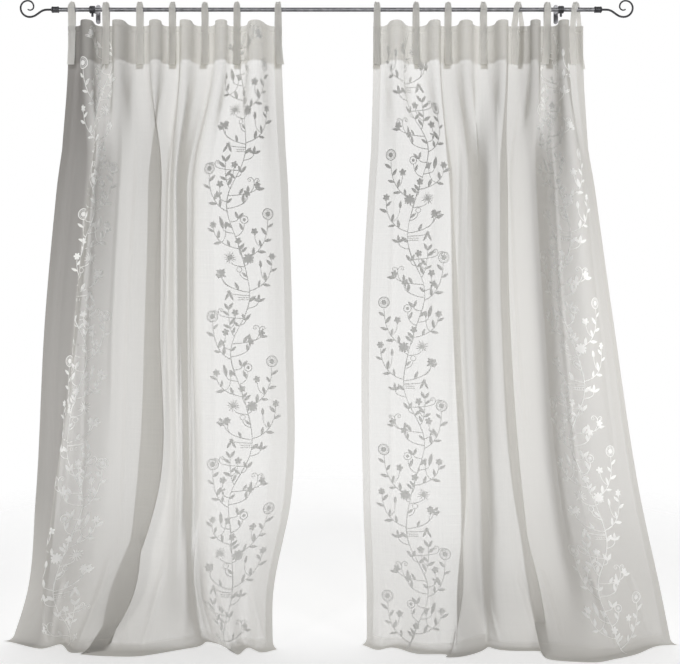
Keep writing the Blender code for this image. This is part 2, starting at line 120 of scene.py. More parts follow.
def stretched_noise(tree, place, scale, detail=2.0):
    stretch = add_node(tree, "ShaderNodeMapping", None, Vector=place, Scale=scale)
    return noise(tree, stretch.outputs[0], 1.0, detail)


def new_material(name):
    made = bpy.data.materials.new(name)
    made.use_nodes = True
    tree = made.node_tree
    return made, tree, tree.nodes["Principled BSDF"], tree.nodes["Material Output"]


# %% [markdown]
# ## Light and backdrop
#
# Sheer cloth is read by the light that comes through it. The world is bright behind the
# curtains and dim in front of them, as with a window behind. Only the light is dim there: the
# backdrop itself is pale all round. Two soft boxes stand at the outer sides of the room, so that
# the outer halves are lit from the front and the middle is not. A long one, a little above the
# rod, washes the heading, and a weak one fills in from high in front.

# %% World
SKY_FRONT = -0.25
SKY_BACK = 0.45
LIGHT_STRENGTH = (0.22, 1.0)
BACKDROP_STRENGTH = (0.72, 1.0)


def front_to_back(tree, direction, strengths, easing):
    """A strength that changes from the room's side of the sky to the wall's side."""
    limits = {"From_Min": SKY_FRONT, "From_Max": SKY_BACK, "To_Min": strengths[0], "To_Max": strengths[1]}
    settings = {"interpolation_type": easing}
    return add_node(tree, "ShaderNodeMapRange", settings, Value=direction, **limits).outputs[0]


world = bpy.data.worlds.new("soft_daylight")
bpy.context.scene.world = world
world.use_nodes = True
sky = world.node_tree
sky_place = add_node(sky, "ShaderNodeTexCoord").outputs["Generated"]
towards_wall = add_node(sky, "ShaderNodeSeparateXYZ", None, _0=sky_place).outputs["Y"]
light = front_to_back(sky, towards_wall, LIGHT_STRENGTH, "SMOOTHSTEP")
backdrop = front_to_back(sky, towards_wall, BACKDROP_STRENGTH, "LINEAR")
camera_ray = add_node(sky, "ShaderNodeLightPath").outputs["Is Camera Ray"]
seen = add_node(sky, "ShaderNodeMix", None, _0=camera_ray, _2=light, _3=backdrop)
set_inputs(sky, sky.nodes["Background"], Strength=seen.outputs[0], Color=(1.0, 1.0, 1.0, 1.0))
bpy.context.scene.view_settings.view_transform = "Standard"


# %% Soft boxes
def soft_box(name, place, target, size, power, spread):
    data = bpy.data.lights.new(name, "AREA")
    data.shape = "RECTANGLE"
    data.size = size[0]
    data.size_y = size[1]
    data.energy = power
    data.spread = math.radians(spread)
    box = bpy.data.objects.new(name, data)
    bpy.context.scene.collection.objects.link(box)
    box.location = place
    aim = np.array(target) - np.array(place)
    flat = math.hypot(aim[0], aim[1])
    box.rotation_euler = (math.atan2(flat, -aim[2]), 0, math.atan2(aim[1], aim[0]) - math.radians(90))


soft_box("outer_left", (-2.1, -2.2, -0.5), (-1.05, -0.15, -1.2), (0.8, 1.8), 4.8, 45)
soft_box("outer_right", (2.2, -2.2, -0.5), (1.05, -0.15, -1.2), (0.8, 1.8), 6.4, 45)
soft_box("heading_wash", (0.0, -1.9, 0.25), (0.0, -0.08, -0.08), (3.0, 0.3), 1.5, 24)
soft_box("front_fill", (0.0, -3.2, 0.9), (0.0, -0.15, -1.2), (2.4, 1.2), 0.3, 140)

# %% [markdown]
# ## Materials
#
# Cloth patterns read the cut cloth's own map, whose numbers are metres across and metres down,
# so a thread is the same size everywhere and follows each fold.
#
# ### Voile
#
# Voile is a plain weave of fine twisted yarn with gaps between the threads. Its shader mixes
# clear gaps with thread, and the thread both reflects and lets light through. How much thread
# is seen at a place is worked out with the mesh and stored as `cover`, because a fold that
# turns away shows more threads, and the outer halves are also set denser as painted shade. The
# thread's lightness is stored as well, and it is painted light and shade: the cloth is drawn
# darker where it would be shaded and paler where it would be lit. The hems are doubled, and
# thicker yarns called slubs run both ways.

# %% Cloth patterns
THREAD_PITCH = 0.0011
# Blender's wave texture repeats every 0.314 at a scale of one.
WAVE_LENGTH = 0.314
SOFT_EDGE = 0.0006


def cut_map(tree):
    return add_node(tree, "ShaderNodeUVMap", {"uv_map": "cut"}).outputs["UV"]


def waves(tree, place, direction, scale):
    made = add_node(tree, "ShaderNodeTexWave", {"bands_direction": direction}, Vector=place, Scale=scale)
    return made.outputs["Fac"]


def plain_weave(tree, place):
    scale = WAVE_LENGTH / THREAD_PITCH
    return math_node(tree, "MAXIMUM", waves(tree, place, "Y", scale), waves(tree, place, "X", scale))


def band(tree, value, start, end):
    """One between start and end, nought outside."""
    rise = math_node(tree, "MULTIPLY_ADD", value, 1 / SOFT_EDGE, 0.5 - start / SOFT_EDGE, clamp=True)
    drop = math_node(tree, "MULTIPLY_ADD", value, -1 / SOFT_EDGE, 0.5 + end / SOFT_EDGE, clamp=True)
    return math_node(tree, "MULTIPLY", rise, drop)


# %% Hems
CUT_WIDTH = 1.400
CUT_DROP = 2.360
SIDE_HEM = 0.028
BOTTOM_HEM = 0.060
PAST_EDGE = 0.01
SEAM_NEAR = 0.0010
SEAM_FAR = 0.0022
STITCH_PITCH = 0.0030
STITCH_SHARE = 0.72
STITCH_CLOSES = 0.8
FOOT_DOUBLING = 0.35


def stitched(tree, seam, along):
    """A seam broken up into stitches."""
    phase = math_node(tree, "FRACT", math_node(tree, "DIVIDE", along, STITCH_PITCH))
    return math_node(tree, "MULTIPLY", seam, math_node(tree, "LESS_THAN", phase, STITCH_SHARE))


def hemmed(tree, gaps, place):
    """The gaps between threads, closed up by the hems' second layer and by their stitches."""
    split_map = add_node(tree, "ShaderNodeSeparateXYZ", None, Vector=place)
    across = split_map.outputs["X"]
    drop = split_map.outputs["Y"]
    far_hem = CUT_WIDTH - SIDE_HEM
    foot = CUT_DROP - BOTTOM_HEM
    near_side = band(tree, across, -PAST_EDGE, SIDE_HEM)
    far_side = band(tree, across, far_hem, CUT_WIDTH + PAST_EDGE)
    sides = math_node(tree, "MAXIMUM", near_side, far_side)
    foot_hem = band(tree, drop, foot, CUT_DROP + PAST_EDGE)
    doubled = math_node(tree, "MAXIMUM", sides, math_node(tree, "MULTIPLY", foot_hem, FOOT_DOUBLING))
    gaps = math_node(tree, "POWER", gaps, math_node(tree, "ADD", 1.0, doubled))
    near_seam = band(tree, across, SIDE_HEM - SEAM_FAR, SIDE_HEM - SEAM_NEAR)
    far_seam = band(tree, across, far_hem + SEAM_NEAR, far_hem + SEAM_FAR)
    side_stitches = stitched(tree, math_node(tree, "MAXIMUM", near_seam, far_seam), drop)
    foot_stitches = stitched(tree, band(tree, drop, foot + SEAM_NEAR, foot + SEAM_FAR), across)
    stitches = math_node(tree, "MAXIMUM", side_stitches, foot_stitches)
    return math_node(tree, "MULTIPLY", gaps, math_node(tree, "MULTIPLY_ADD", stitches, -STITCH_CLOSES, 1.0))


# %% Voile
# SHADED_VOILE is the colour of painted shade, and PALE_VOILE is the cloth's own colour.
SHADED_VOILE = (0.185, 0.172, 0.162)
PALE_VOILE = (0.83, 0.815, 0.775)
SLUBS_DOWN = (420.0, 5.0, 1.0)
SLUBS_ACROSS = (4.0, 460.0, 1.0)
CLOSED_VOILE = 0.90
WEAVE_CLOSES = 0.16


def voile_material(name, hems, let_through):
    made, tree, shader, output = new_material(name)
    place = cut_map(tree)
    weave = plain_weave(tree, place)
    down_slubs = stretched_noise(tree, place, SLUBS_DOWN)
    cross_slubs = stretched_noise(tree, place, SLUBS_ACROSS)
    slubs = math_node(tree, "MULTIPLY", math_node(tree, "ADD", down_slubs, cross_slubs), 0.5)
    cover = add_node(tree, "ShaderNodeAttribute", {"attribute_name": "cover"}).outputs["Fac"]
    tone = add_node(tree, "ShaderNodeAttribute", {"attribute_name": "tone"}).outputs["Fac"]
    gaps = math_node(tree, "SUBTRACT", 1.0, cover)
    if hems:
        gaps = hemmed(tree, gaps, place)
    thickened = math_node(tree, "MULTIPLY_ADD", slubs, -0.5, 1.25)
    gaps = math_node(tree, "MULTIPLY", gaps, thickened, clamp=True)
    closed = math_node(tree, "SUBTRACT", CLOSED_VOILE, gaps)
    thread_share = math_node(tree, "MULTIPLY_ADD", weave, WEAVE_CLOSES, closed, clamp=True)
    # The painted shading picks the thread's colour between the shaded and the pale voile.
    colour = colour_mix(tree, tone, SHADED_VOILE, PALE_VOILE)
    ridges = relief(tree, math_node(tree, "MULTIPLY_ADD", slubs, 0.5, weave), 0.22, 0.0004)
    set_inputs(tree, shader, Base_Color=colour, Normal=ridges, Roughness=0.75, Specular_IOR_Level=0.25)
    set_inputs(tree, shader, Sheen_Weight=0.12, Sheen_Roughness=0.4)
    glow = add_node(tree, "ShaderNodeBsdfTranslucent", None, Color=colour, Normal=ridges)
    yarn = shader_mix(tree, let_through, shader, glow)
    cloth = shader_mix(tree, thread_share, add_node(tree, "ShaderNodeBsdfTransparent"), yarn)
    set_inputs(tree, output, Surface=cloth.outputs[0])
    return made


voile = voile_material("voile", hems=True, let_through=0.42)
heading_voile = voile_material("heading_voile", hems=False, let_through=0.55)


# %% [markdown]
# ### Embroidery thread
#
# The vine is worked in matt cotton satin stitch. Close parallel stitches give it a fine rib,
# and it is dense enough to hide what is behind it. It is one white thread throughout, drawn in
# two lightnesses: darker up the leading edges, as painted shade where the cloth is lit from
# behind, and paler up the outer edges, as painted light that keeps the vine pale against the
# shaded cloth.


# %% Thread
STITCH_RIBS = 380.0
THREAD_FUZZ = (900.0, 900.0, 1.0)


def thread_material(name, dull, bright):
    made, tree, shader, output = new_material(name)
    place = cut_map(tree)
    uneven = stretched_noise(tree, place, THREAD_FUZZ)
    height = math_node(tree, "MULTIPLY_ADD", uneven, 0.4, waves(tree, place, "DIAGONAL", STITCH_RIBS))
    colour = colour_mix(tree, uneven, dull, bright)
    set_inputs(tree, shader, Base_Color=colour, Normal=relief(tree, height, 0.5, 0.0004))
    set_inputs(tree, shader, Roughness=0.55, Sheen_Weight=0.2)
    return made


# One thread, drawn in two lightnesses: the darker is painted shade and the paler is painted light.
painted_shade_stitch = thread_material("painted_shade_stitch", (0.64, 0.635, 0.615), (0.82, 0.815, 0.795))
painted_light_stitch = thread_material("painted_light_stitch", (0.88, 0.875, 0.85), (0.98, 0.975, 0.955))


# %% [markdown]
# ### Tie cloth
#
# The ties are the same voile folded over several times. Nothing is seen through them, but they
# still glow a little with the light from behind.


# %% Tie cloth
TIE_CREASES = (160.0, 14.0, 1.0)
TIE_GLOW = 0.40


def tie_material():
    made, tree, shader, output = new_material("tie_voile")
    place = cut_map(tree)
    creases = stretched_noise(tree, place, TIE_CREASES, 3.0)
    height = math_node(tree, "MULTIPLY_ADD", creases, 3.0, plain_weave(tree, place))
    # The crease noise also sets the colour, so the troughs are drawn darker and the ridges paler: painted
    # shade in the creases.
    colour = colour_mix(tree, creases, (0.82, 0.81, 0.78), (0.95, 0.94, 0.91))
    set_inputs(tree, shader, Base_Color=colour, Normal=relief(tree, height, 0.4, 0.0008))
    set_inputs(tree, shader, Roughness=0.8, Sheen_Weight=0.15)
    glow = add_node(tree, "ShaderNodeBsdfTranslucent", None, Color=colour)
    set_inputs(tree, output, Surface=shader_mix(tree, TIE_GLOW, shader, glow).outputs[0])
    return made


tie_voile = tie_material()


# %% [markdown]
# ### Iron
#
# The rod is drawn tube with a dull waxed finish, and the scrolls are forged, so they are darker
# and a little hammered. Metal that is handled wears paler, which a soft noise gives.


# %% Iron
WORN_PATCHES = 55.0
METAL_GRAIN = 1400.0


def iron_material(name, dark, pale, roughness, hammered):
    made, tree, shader, output = new_material(name)
    place = add_node(tree, "ShaderNodeTexCoord").outputs["Object"]
    patches = noise(tree, place, WORN_PATCHES, 4.0)
    dents = noise(tree, place, hammered, 1.0)
    grain = noise(tree, place, METAL_GRAIN, 2.0)
    worn = add_node(tree, "ShaderNodeMapRange", None, Value=patches, From_Min=0.35, From_Max=0.75)
    colour = colour_mix(tree, worn.outputs[0], dark, pale)
    dull = math_node(tree, "MULTIPLY_ADD", patches, 0.25, roughness - 0.12)
    height = math_node(tree, "MULTIPLY_ADD", grain, 0.15, dents)
    set_inputs(tree, shader, Base_Color=colour, Roughness=dull, Metallic=0.85)
    set_inputs(tree, shader, Normal=relief(tree, height, 0.35, 0.0008))
    return made


waxed_iron = iron_material("waxed_iron", (0.19, 0.19, 0.20), (0.34, 0.34, 0.355), 0.42, 60.0)
forged_iron = iron_material("forged_iron", (0.05, 0.05, 0.055), (0.15, 0.15, 0.16), 0.45, 170.0)

# %% [markdown]
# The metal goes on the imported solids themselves. Nothing is moved: only their finish changes.

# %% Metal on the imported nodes
metal = {"rod": waxed_iron}
for side_name in ("left", "right"):
    metal[f"bracket_{side_name}"] = waxed_iron
    for fitting in ("collar", "scroll", "clamp", "screw"):
        metal[f"{fitting}_{side_name}"] = forged_iron
for name, finish in metal.items():
    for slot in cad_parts[name].material_slots:
        slot.material = finish
print("metal on", len(metal), "nodes")

# %% [markdown]
# ## The floor
#
# A pale disc catches soft shadows under the hems. Further out it fades away into the backdrop.

# %% Floor
FLOOR_BELOW_ROD = 2.380
FLOOR_GAP = 0.0005
FADE_START = 1.5
FADE_END = 2.9


def floor_material():
    made, tree, shader, output = new_material("pale_floor")
    place = add_node(tree, "ShaderNodeTexCoord").outputs["Object"]
    split_place = add_node(tree, "ShaderNodeSeparateXYZ", None, Vector=place).outputs
    flat = add_node(tree, "ShaderNodeCombineXYZ", None, X=split_place["X"], Y=split_place["Y"])
    distance = add_node(tree, "ShaderNodeVectorMath", {"operation": "LENGTH"}, Vector=flat.outputs[0])
    fade = {"Value": distance.outputs["Value"], "From_Min": FADE_START, "From_Max": FADE_END}
    gone = add_node(tree, "ShaderNodeMapRange", None, **fade)
    set_inputs(tree, shader, Base_Color=(0.86, 0.86, 0.86, 1.0), Roughness=0.9)
    set_inputs(tree, shader, Emission_Color=(1.0, 1.0, 1.0, 1.0), Emission_Strength=0.36)
    clear = add_node(tree, "ShaderNodeBsdfTransparent")
    set_inputs(tree, output, Surface=shader_mix(tree, gone.outputs[0], shader, clear).outputs[0])
    return made


floor_place = (0, 0, -FLOOR_BELOW_ROD - FLOOR_GAP)
bpy.ops.mesh.primitive_circle_add(vertices=96, radius=3.0, fill_type="NGON", location=floor_place)
floor = bpy.context.object
floor.name = "floor"
floor.data.materials.append(floor_material())
print("floor at", -FLOOR_BELOW_ROD)

# %% [markdown]
# ## How the cloth hangs
#
# A gathered curtain is a flat cut that keeps its width: whatever it loses from side to side it
# gains from front to back. So its plan at a few levels is drawn as folds, and the fold depth is
# solved until the plan is exactly as long as the cut is wide. Between the levels the places are
# joined smoothly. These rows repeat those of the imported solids, in metres.

# %% Fold tables
STAND_OFF = 0.100
HEADING_BELOW_ROD = 0.062
STITCH_DROP = 0.022
FACING_DROP = 0.142
LAYER_OFFSET = 0.0016
LANDING_RADIUS = 0.020
HEM_LIFT = 0.024
CLOTH_THICKNESS = 0.001
HEADING_FOLDS_KEPT = (0.10, 0.62)
HEADING_RISE = 0.013
RISE_FADE = 0.300
PINCH_WIDTH = 0.0030
PINCH_DEPTH = 0.0022
FRILL_DEPTH = 0.0016
LEVELS = {"chest": 0.46, "waist": 1.10, "knee": 1.78, "ankle": 2.16, "hem": CUT_DROP}
SAMPLES = 561
MEANDER_STEPS = 60
HALVINGS = 40


def rows_of(kind, *rows):
    return tuple(kind(*row) for row in rows)


# Each fold row gives a place across the cut, how far that place hangs from the middle of the rod
# at five levels, and how far it reaches towards the room as a share of the fold depth.
Fold = namedtuple("Fold", "across chest waist knee ankle hem reach reach_hem")
LEFT_FOLDS = rows_of(
    Fold,
    (0.000, 0.151, 0.130, 0.134, 0.202, 0.200, -0.30, -0.20),
    (0.200, 0.319, 0.304, 0.297, 0.319, 0.308, 0.35, 0.50),
    (0.395, 0.486, 0.486, 0.467, 0.445, 0.409, 0.00, 0.20),
    (0.470, 0.524, 0.524, 0.505, 0.494, 0.460, -1.00, -0.70),
    (0.600, 0.560, 0.557, 0.542, 0.527, 0.501, 0.90, 0.80),
    (0.700, 0.598, 0.609, 0.605, 0.635, 0.659, -0.30, -0.30),
    (0.800, 0.679, 0.691, 0.725, 0.824, 0.897, -0.90, -0.80),
    (0.900, 0.610, 0.621, 0.636, 0.729, 0.813, 0.35, 0.50),
    (1.080, 0.752, 0.778, 0.827, 0.887, 0.942, 0.05, 0.20),
    (1.255, 0.862, 0.929, 1.013, 1.054, 1.025, 1.00, 1.00),
    (1.285, 0.857, 0.924, 1.010, 1.051, 1.043, 0.30, 0.40),
    (1.400, 1.008, 1.065, 1.099, 1.137, 1.196, -0.55, -0.30),
)
RIGHT_FOLDS = rows_of(
    Fold,
    (0.000, 0.165, 0.133, 0.137, 0.150, 0.151, -0.20, -0.20),
    (0.200, 0.322, 0.315, 0.322, 0.322, 0.315, 0.30, 0.50),
    (0.385, 0.471, 0.493, 0.519, 0.501, 0.461, 0.40, 0.60),
    (0.425, 0.456, 0.475, 0.505, 0.486, 0.451, -0.10, 0.00),
    (0.550, 0.539, 0.550, 0.577, 0.581, 0.577, -1.00, -0.80),
    (0.680, 0.597, 0.604, 0.630, 0.641, 0.643, 0.90, 0.80),
    (0.790, 0.670, 0.681, 0.733, 0.804, 0.840, 0.60, 0.90),
    (0.860, 0.649, 0.656, 0.705, 0.761, 0.790, -0.20, 0.20),
    (0.990, 0.775, 0.805, 0.847, 0.897, 0.934, -1.00, -0.80),
    (1.090, 0.836, 0.858, 0.903, 0.970, 1.015, 0.15, 0.00),
    (1.200, 0.903, 0.948, 0.988, 1.055, 1.096, 0.90, 0.90),
    (1.400, 0.996, 1.083, 1.185, 1.264, 1.296, -0.50, -0.30),
)
# Near the floor the cloth also kicks forward or back from place to place.
Kick = namedtuple("Kick", "across forward")
LEFT_KICKS = rows_of(
    Kick,
    (0.00, 0.025), (0.10, 0.045), (0.20, -0.010), (0.27, 0.050), (0.35, 0.010),
    (0.48, -0.055), (0.60, 0.005), (0.72, 0.065), (0.80, 0.060), (0.95, 0.030),
    (1.05, 0.045), (1.18, -0.050), (1.27, 0.000), (1.40, -0.040),
)
RIGHT_KICKS = rows_of(
    Kick,
    (0.00, -0.020), (0.06, 0.020), (0.12, -0.010), (0.26, 0.050), (0.35, 0.060),
    (0.48, 0.090), (0.60, -0.010), (0.68, 0.010), (0.80, 0.030), (0.90, 0.120),
    (1.02, 0.130), (1.12, 0.090), (1.22, 0.050), (1.30, 0.000), (1.40, 0.000),
)
KICK_SHARES = {"ankle": 0.30, "hem": 1.0}
# An open tie is stitched on in two strands, a little apart.
CLOSED_TIE = (0.029, 0.027, 0.027, 0.000)
OPEN_TIE = (0.054, 0.023, 0.018, 0.014)
Tie = namedtuple("Tie", "middle flat front back spread front_swing back_swing")
LEFT_TIES = rows_of(
    Tie,
    (0.182, *CLOSED_TIE, -0.009, 0.003),
    (0.336, *CLOSED_TIE, 0.002, -0.004),
    (0.456, *CLOSED_TIE, -0.002, 0.005),
    (0.578, *CLOSED_TIE, 0.002, -0.002),
    (0.700, *CLOSED_TIE, -0.001, 0.004),
    (0.827, *CLOSED_TIE, 0.002, 0.006),
    (0.955, *CLOSED_TIE, 0.003, -0.004),
)
RIGHT_TIES = rows_of(
    Tie,
    (0.189, *CLOSED_TIE, 0.003, -0.002),
    (0.335, *CLOSED_TIE, 0.002, 0.006),
    (0.455, *CLOSED_TIE, 0.003, -0.005),
    (0.588, *CLOSED_TIE, -0.002, 0.004),
    (0.718, *OPEN_TIE, 0.002, -0.004),
    (0.827, *CLOSED_TIE, -0.010, 0.010),
    (0.935, *OPEN_TIE, 0.004, 0.012),
)
LEFT_LEANS = (0.10, -0.12, 0.08, -0.10, 0.12, -0.06)
RIGHT_LEANS = (-0.08, 0.12, -0.10, 0.10, -0.10, 0.06)


# %% [markdown]
# ### Working out a plan
#
# The body's plans come from the fold rows. The heading's plan is different: it is flat where a
# tie is sewn on, and the cloth between two ties stands forward in a meander, the curve that a
# springy strip takes when its ends are pushed together.


# %% Curves
def smooth_step(value):
    value = np.clip(value, 0.0, 1.0)
    return value * value * (3 - 2 * value)


def smooth_curve(at, knots, values):
    """Cubic through the values at uneven knots. The values may have a column for each place."""
    at = np.asarray(at, float)
    knots = np.asarray(knots, float)
    values = np.asarray(values, float)
    steps = np.diff(knots)
    wide = steps if values.ndim == 1 else steps[:, None]
    rises = np.diff(values, axis=0) / wide
    slopes = np.empty_like(values)
    slopes[0] = rises[0]
    slopes[-1] = rises[-1]
    slopes[1:-1] = (rises[:-1] * wide[1:] + rises[1:] * wide[:-1]) / (wide[:-1] + wide[1:])
    cell = np.clip(np.searchsorted(knots, at, side="right") - 1, 0, len(steps) - 1)
    step = steps[cell]
    share = (at - knots[cell]) / step
    pick = (cell,) if values.ndim == 1 else (cell, np.arange(values.shape[1]))
    after = (cell + 1, *pick[1:])
    leaving = (share**3 - 2 * share**2 + share) * step * slopes[pick]
    arriving = (share**3 - share**2) * step * slopes[after]
    start = (2 * share**3 - 3 * share**2 + 1) * values[pick] + leaving
    end = (3 * share**2 - 2 * share**3) * values[after] + arriving
    return start + end


def length_of(x, y):
    return np.concatenate(((0.0,), np.cumsum(np.hypot(np.diff(x), np.diff(y)))))


def halve(low, high, too_low):
    """The value between low and high where too_low turns false, by halving."""
    for _ in range(HALVINGS):
        middle = (low + high) / 2
        if too_low(middle):
            low = middle
        else:
            high = middle
    return (low + high) / 2


# %% Plans
def evened(x, y):
    """The same line with its points at even steps along the cloth."""
    run = length_of(x, y)
    even = np.linspace(0.0, run[-1], SAMPLES)
    return np.interp(even, run, x), np.interp(even, run, y)


def body_section(curtain, level):
    folds = curtain.folds
    across = np.linspace(0.0, CUT_WIDTH, SAMPLES)
    knots = [fold.across for fold in folds]
    x = smooth_curve(across, knots, [getattr(fold, level) for fold in folds])
    reaches = [fold.reach_hem if level == "hem" else fold.reach for fold in folds]
    reach = smooth_curve(across, knots, reaches)
    kick_knots = [kick.across for kick in curtain.kicks]
    kick = smooth_curve(across, kick_knots, [kick.forward for kick in curtain.kicks])
    kick = kick * KICK_SHARES.get(level, 0.0)
    depth = halve(0.0, 0.3, lambda trial: length_of(x, trial * reach + kick)[-1] < CUT_WIDTH)
    return evened(x, depth * reach + kick)


def bulge(arc, chord, lean):
    """A meander of the given length that bridges a shorter chord."""
    turn = 2 * math.pi * (np.arange(MEANDER_STEPS) + 0.5) / MEANDER_STEPS
    swing = halve(0.3, 2.3, lambda most: np.cos(most * np.sin(turn)).mean() * arc > chord)
    x = np.concatenate(((0.0,), np.cumsum(np.cos(swing * np.sin(turn))))) * arc / MEANDER_STEPS
    y = np.concatenate(((0.0,), np.cumsum(np.sin(swing * np.sin(turn))))) * arc / MEANDER_STEPS
    return x + lean * y, y


def span_arc(ties):
    """How much of the cut lies between two neighbouring ties."""
    return (CUT_WIDTH - sum(tie.flat for tie in ties)) / (len(ties) - 1)


def heading_section(ties, leans):
    arc = span_arc(ties)
    x = [ties[0].middle - ties[0].flat / 2]
    y = [0.0]
    for number, tie in enumerate(ties):
        x.append(tie.middle + tie.flat / 2)
        y.append(0.0)
        if number < len(ties) - 1:
            start = x[-1]
            chord = ties[number + 1].middle - ties[number + 1].flat / 2 - start
            bulge_x, bulge_y = bulge(arc, chord, leans[number])
            x.extend(start + bulge_x[1:])
            y.extend(bulge_y[1:])
    return evened(x, y)


def tie_places(ties):
    start = 0.0
    places = []
    for tie in ties:
        places.append(start + tie.flat / 2)
        start += tie.flat + span_arc(ties)
    return places


# %% [markdown]
# ### Creases
#
# Large folds alone look like bent card. Real voile also has soft troughs and ridges: pleats that
# fan down from each tie, drag lines where the hem is caught on the floor, and kinks along the
# hem. Each is one row: where it starts and ends, how wide it is and how far it stands forward.

# %% Crease tables
Crease = namedtuple("Crease", "across top low_across bottom width forward")
LEFT_CREASES = rows_of(
    Crease,
    (0.075, 0.16, 0.060, 1.30, 0.016, 0.0030),
    (0.285, 0.12, 0.300, 1.90, 0.014, -0.0040),
    (0.430, 0.10, 0.420, 2.20, 0.010, 0.0060),
    (0.540, 0.15, 0.530, 2.10, 0.009, -0.0050),
    (0.650, 0.12, 0.655, 1.80, 0.010, 0.0060),
    (0.745, 0.30, 0.735, 2.25, 0.008, 0.0050),
    (0.865, 0.12, 0.860, 1.70, 0.010, -0.0050),
    (0.960, 0.14, 0.985, 2.20, 0.012, 0.0050),
    (1.030, 0.25, 1.040, 1.60, 0.009, -0.0040),
    (1.140, 0.12, 1.135, 2.10, 0.010, 0.0040),
    (1.215, 0.40, 1.200, 1.90, 0.008, -0.0035),
    (1.335, 0.30, 1.345, 2.10, 0.012, 0.0050),
    (0.120, 2.00, 0.030, 2.33, 0.016, 0.0070),
    (0.250, 2.05, 0.180, 2.34, 0.014, -0.0070),
    (0.350, 1.95, 0.330, 2.34, 0.014, 0.0060),
    (0.580, 2.00, 0.640, 2.34, 0.014, 0.0070),
    (0.760, 2.02, 0.700, 2.34, 0.012, -0.0060),
    (1.010, 1.95, 1.080, 2.34, 0.014, 0.0070),
    (1.170, 2.03, 1.240, 2.34, 0.012, -0.0060),
    (1.310, 1.98, 1.380, 2.34, 0.014, 0.0060),
)
RIGHT_CREASES = rows_of(
    Crease,
    (0.105, 0.12, 0.115, 2.10, 0.010, 0.0045),
    (0.255, 0.14, 0.245, 1.40, 0.014, -0.0035),
    (0.345, 0.20, 0.340, 1.70, 0.010, 0.0040),
    (0.480, 0.12, 0.475, 2.15, 0.010, 0.0060),
    (0.515, 0.35, 0.520, 1.80, 0.008, -0.0050),
    (0.610, 0.12, 0.620, 2.20, 0.011, -0.0060),
    (0.735, 0.14, 0.730, 1.90, 0.010, 0.0060),
    (0.825, 0.20, 0.840, 2.10, 0.009, -0.0050),
    (0.925, 0.12, 0.920, 1.70, 0.010, 0.0050),
    (1.040, 0.15, 1.050, 2.20, 0.010, -0.0040),
    (1.150, 0.20, 1.140, 2.00, 0.009, 0.0040),
    (1.290, 0.15, 1.310, 1.80, 0.014, -0.0040),
    (0.060, 2.00, 0.110, 2.34, 0.014, 0.0060),
    (0.220, 2.04, 0.290, 2.34, 0.014, -0.0070),
    (0.400, 1.98, 0.370, 2.34, 0.013, 0.0060),
    (0.560, 2.04, 0.610, 2.34, 0.012, 0.0060),
    (0.720, 1.96, 0.770, 2.34, 0.014, -0.0070),
    (0.900, 2.02, 0.960, 2.34, 0.014, 0.0070),
    (1.100, 1.98, 1.170, 2.34, 0.013, 0.0070),
    (1.260, 2.02, 1.340, 2.34, 0.014, -0.0060),
)

# %% [markdown]
# ### Thread cover and painted shade
#
# The inner half of each curtain hangs in front of the window, where light comes between its
# threads. The outer half hangs in front of the wall, where no light comes from behind. There is
# no window or wall in the scene, so the cloth carries that difference itself, as painted shade:
# the outer half is drawn darker and its threads are set closer. Each row gives a place across
# the cut, how much of the view the threads close, and how light the thread is painted higher up,
# lower down and at the foot. The values are chosen one by one.

# %% Tone tables
# Rows of thread cover and painted shade: the chest, knee and foot columns say how light the thread is
# painted there.
Tone = namedtuple("Tone", "across cover chest knee foot")
LEFT_TONES = rows_of(
    Tone,
    (0.000, 0.56, 0.90, 0.90, 0.77),
    (0.088, 0.52, 0.95, 0.95, 0.77),
    (0.100, 0.42, 0.95, 0.95, 0.72),
    (0.280, 0.42, 0.95, 0.95, 0.67),
    (0.300, 0.48, 0.95, 0.90, 0.62),
    (0.385, 0.46, 0.95, 0.90, 0.62),
    (0.420, 0.60, 0.90, 0.85, 0.67),
    (0.600, 0.56, 0.95, 0.90, 0.67),
    (0.740, 0.60, 0.80, 0.80, 0.72),
    (0.900, 0.64, 0.75, 0.75, 0.67),
    (1.080, 0.72, 0.62, 0.62, 0.62),
    (1.255, 0.78, 0.50, 0.60, 0.67),
    (1.290, 0.93, 0.15, 0.35, 0.52),
    (1.400, 0.93, 0.15, 0.40, 0.67),
)
RIGHT_TONES = rows_of(
    Tone,
    (0.000, 0.42, 0.98, 0.98, 0.82),
    (0.300, 0.40, 0.98, 0.95, 0.67),
    (0.380, 0.46, 0.95, 0.90, 0.52),
    (0.420, 0.60, 0.85, 0.85, 0.52),
    (0.550, 0.60, 0.88, 0.88, 0.62),
    (0.790, 0.64, 0.82, 0.80, 0.72),
    (0.990, 0.72, 0.68, 0.65, 0.64),
    (1.200, 0.74, 0.68, 0.65, 0.64),
    (1.400, 0.72, 0.72, 0.70, 0.70),
)
TONE_DROPS = (0.30, 1.75, 2.15)
# Towards the foot the threads are set closer, so the lower cloth is drawn darker.
FOOT_COVER = 0.12
FACING_COVER = 0.70
MOST_COVER = 0.98
# The top of the heading is drawn paler, as painted light.
HEADING_PAINTED_LIGHT = 0.12
HEADING_PAINTED_LIGHT_FADE = (0.10, 0.20)
# A fold looks denser as it turns away, until only this share of its face is towards the room.
HEADING_TURN = 0.88
PANEL_TURN = 0.30
TURN_FADE = (0.10, 0.35)
Curtain = namedtuple("Curtain", "name side folds kicks ties leans creases tones")
LEFT = Curtain("left", -1, LEFT_FOLDS, LEFT_KICKS, LEFT_TIES, LEFT_LEANS, LEFT_CREASES, LEFT_TONES)
RIGHT = Curtain(
    "right", 1, RIGHT_FOLDS, RIGHT_KICKS, RIGHT_TIES, RIGHT_LEANS, RIGHT_CREASES, RIGHT_TONES
)


# %% [markdown]
# ### From the cut to the room
#
# Everything sewn on the curtain has to find its place on the folds. `hang` takes a place on the
# flat cut and gives the place where it hangs, and `layer` gives one a little in front or behind.
# The last few centimetres turn over a small radius and lie on the floor.

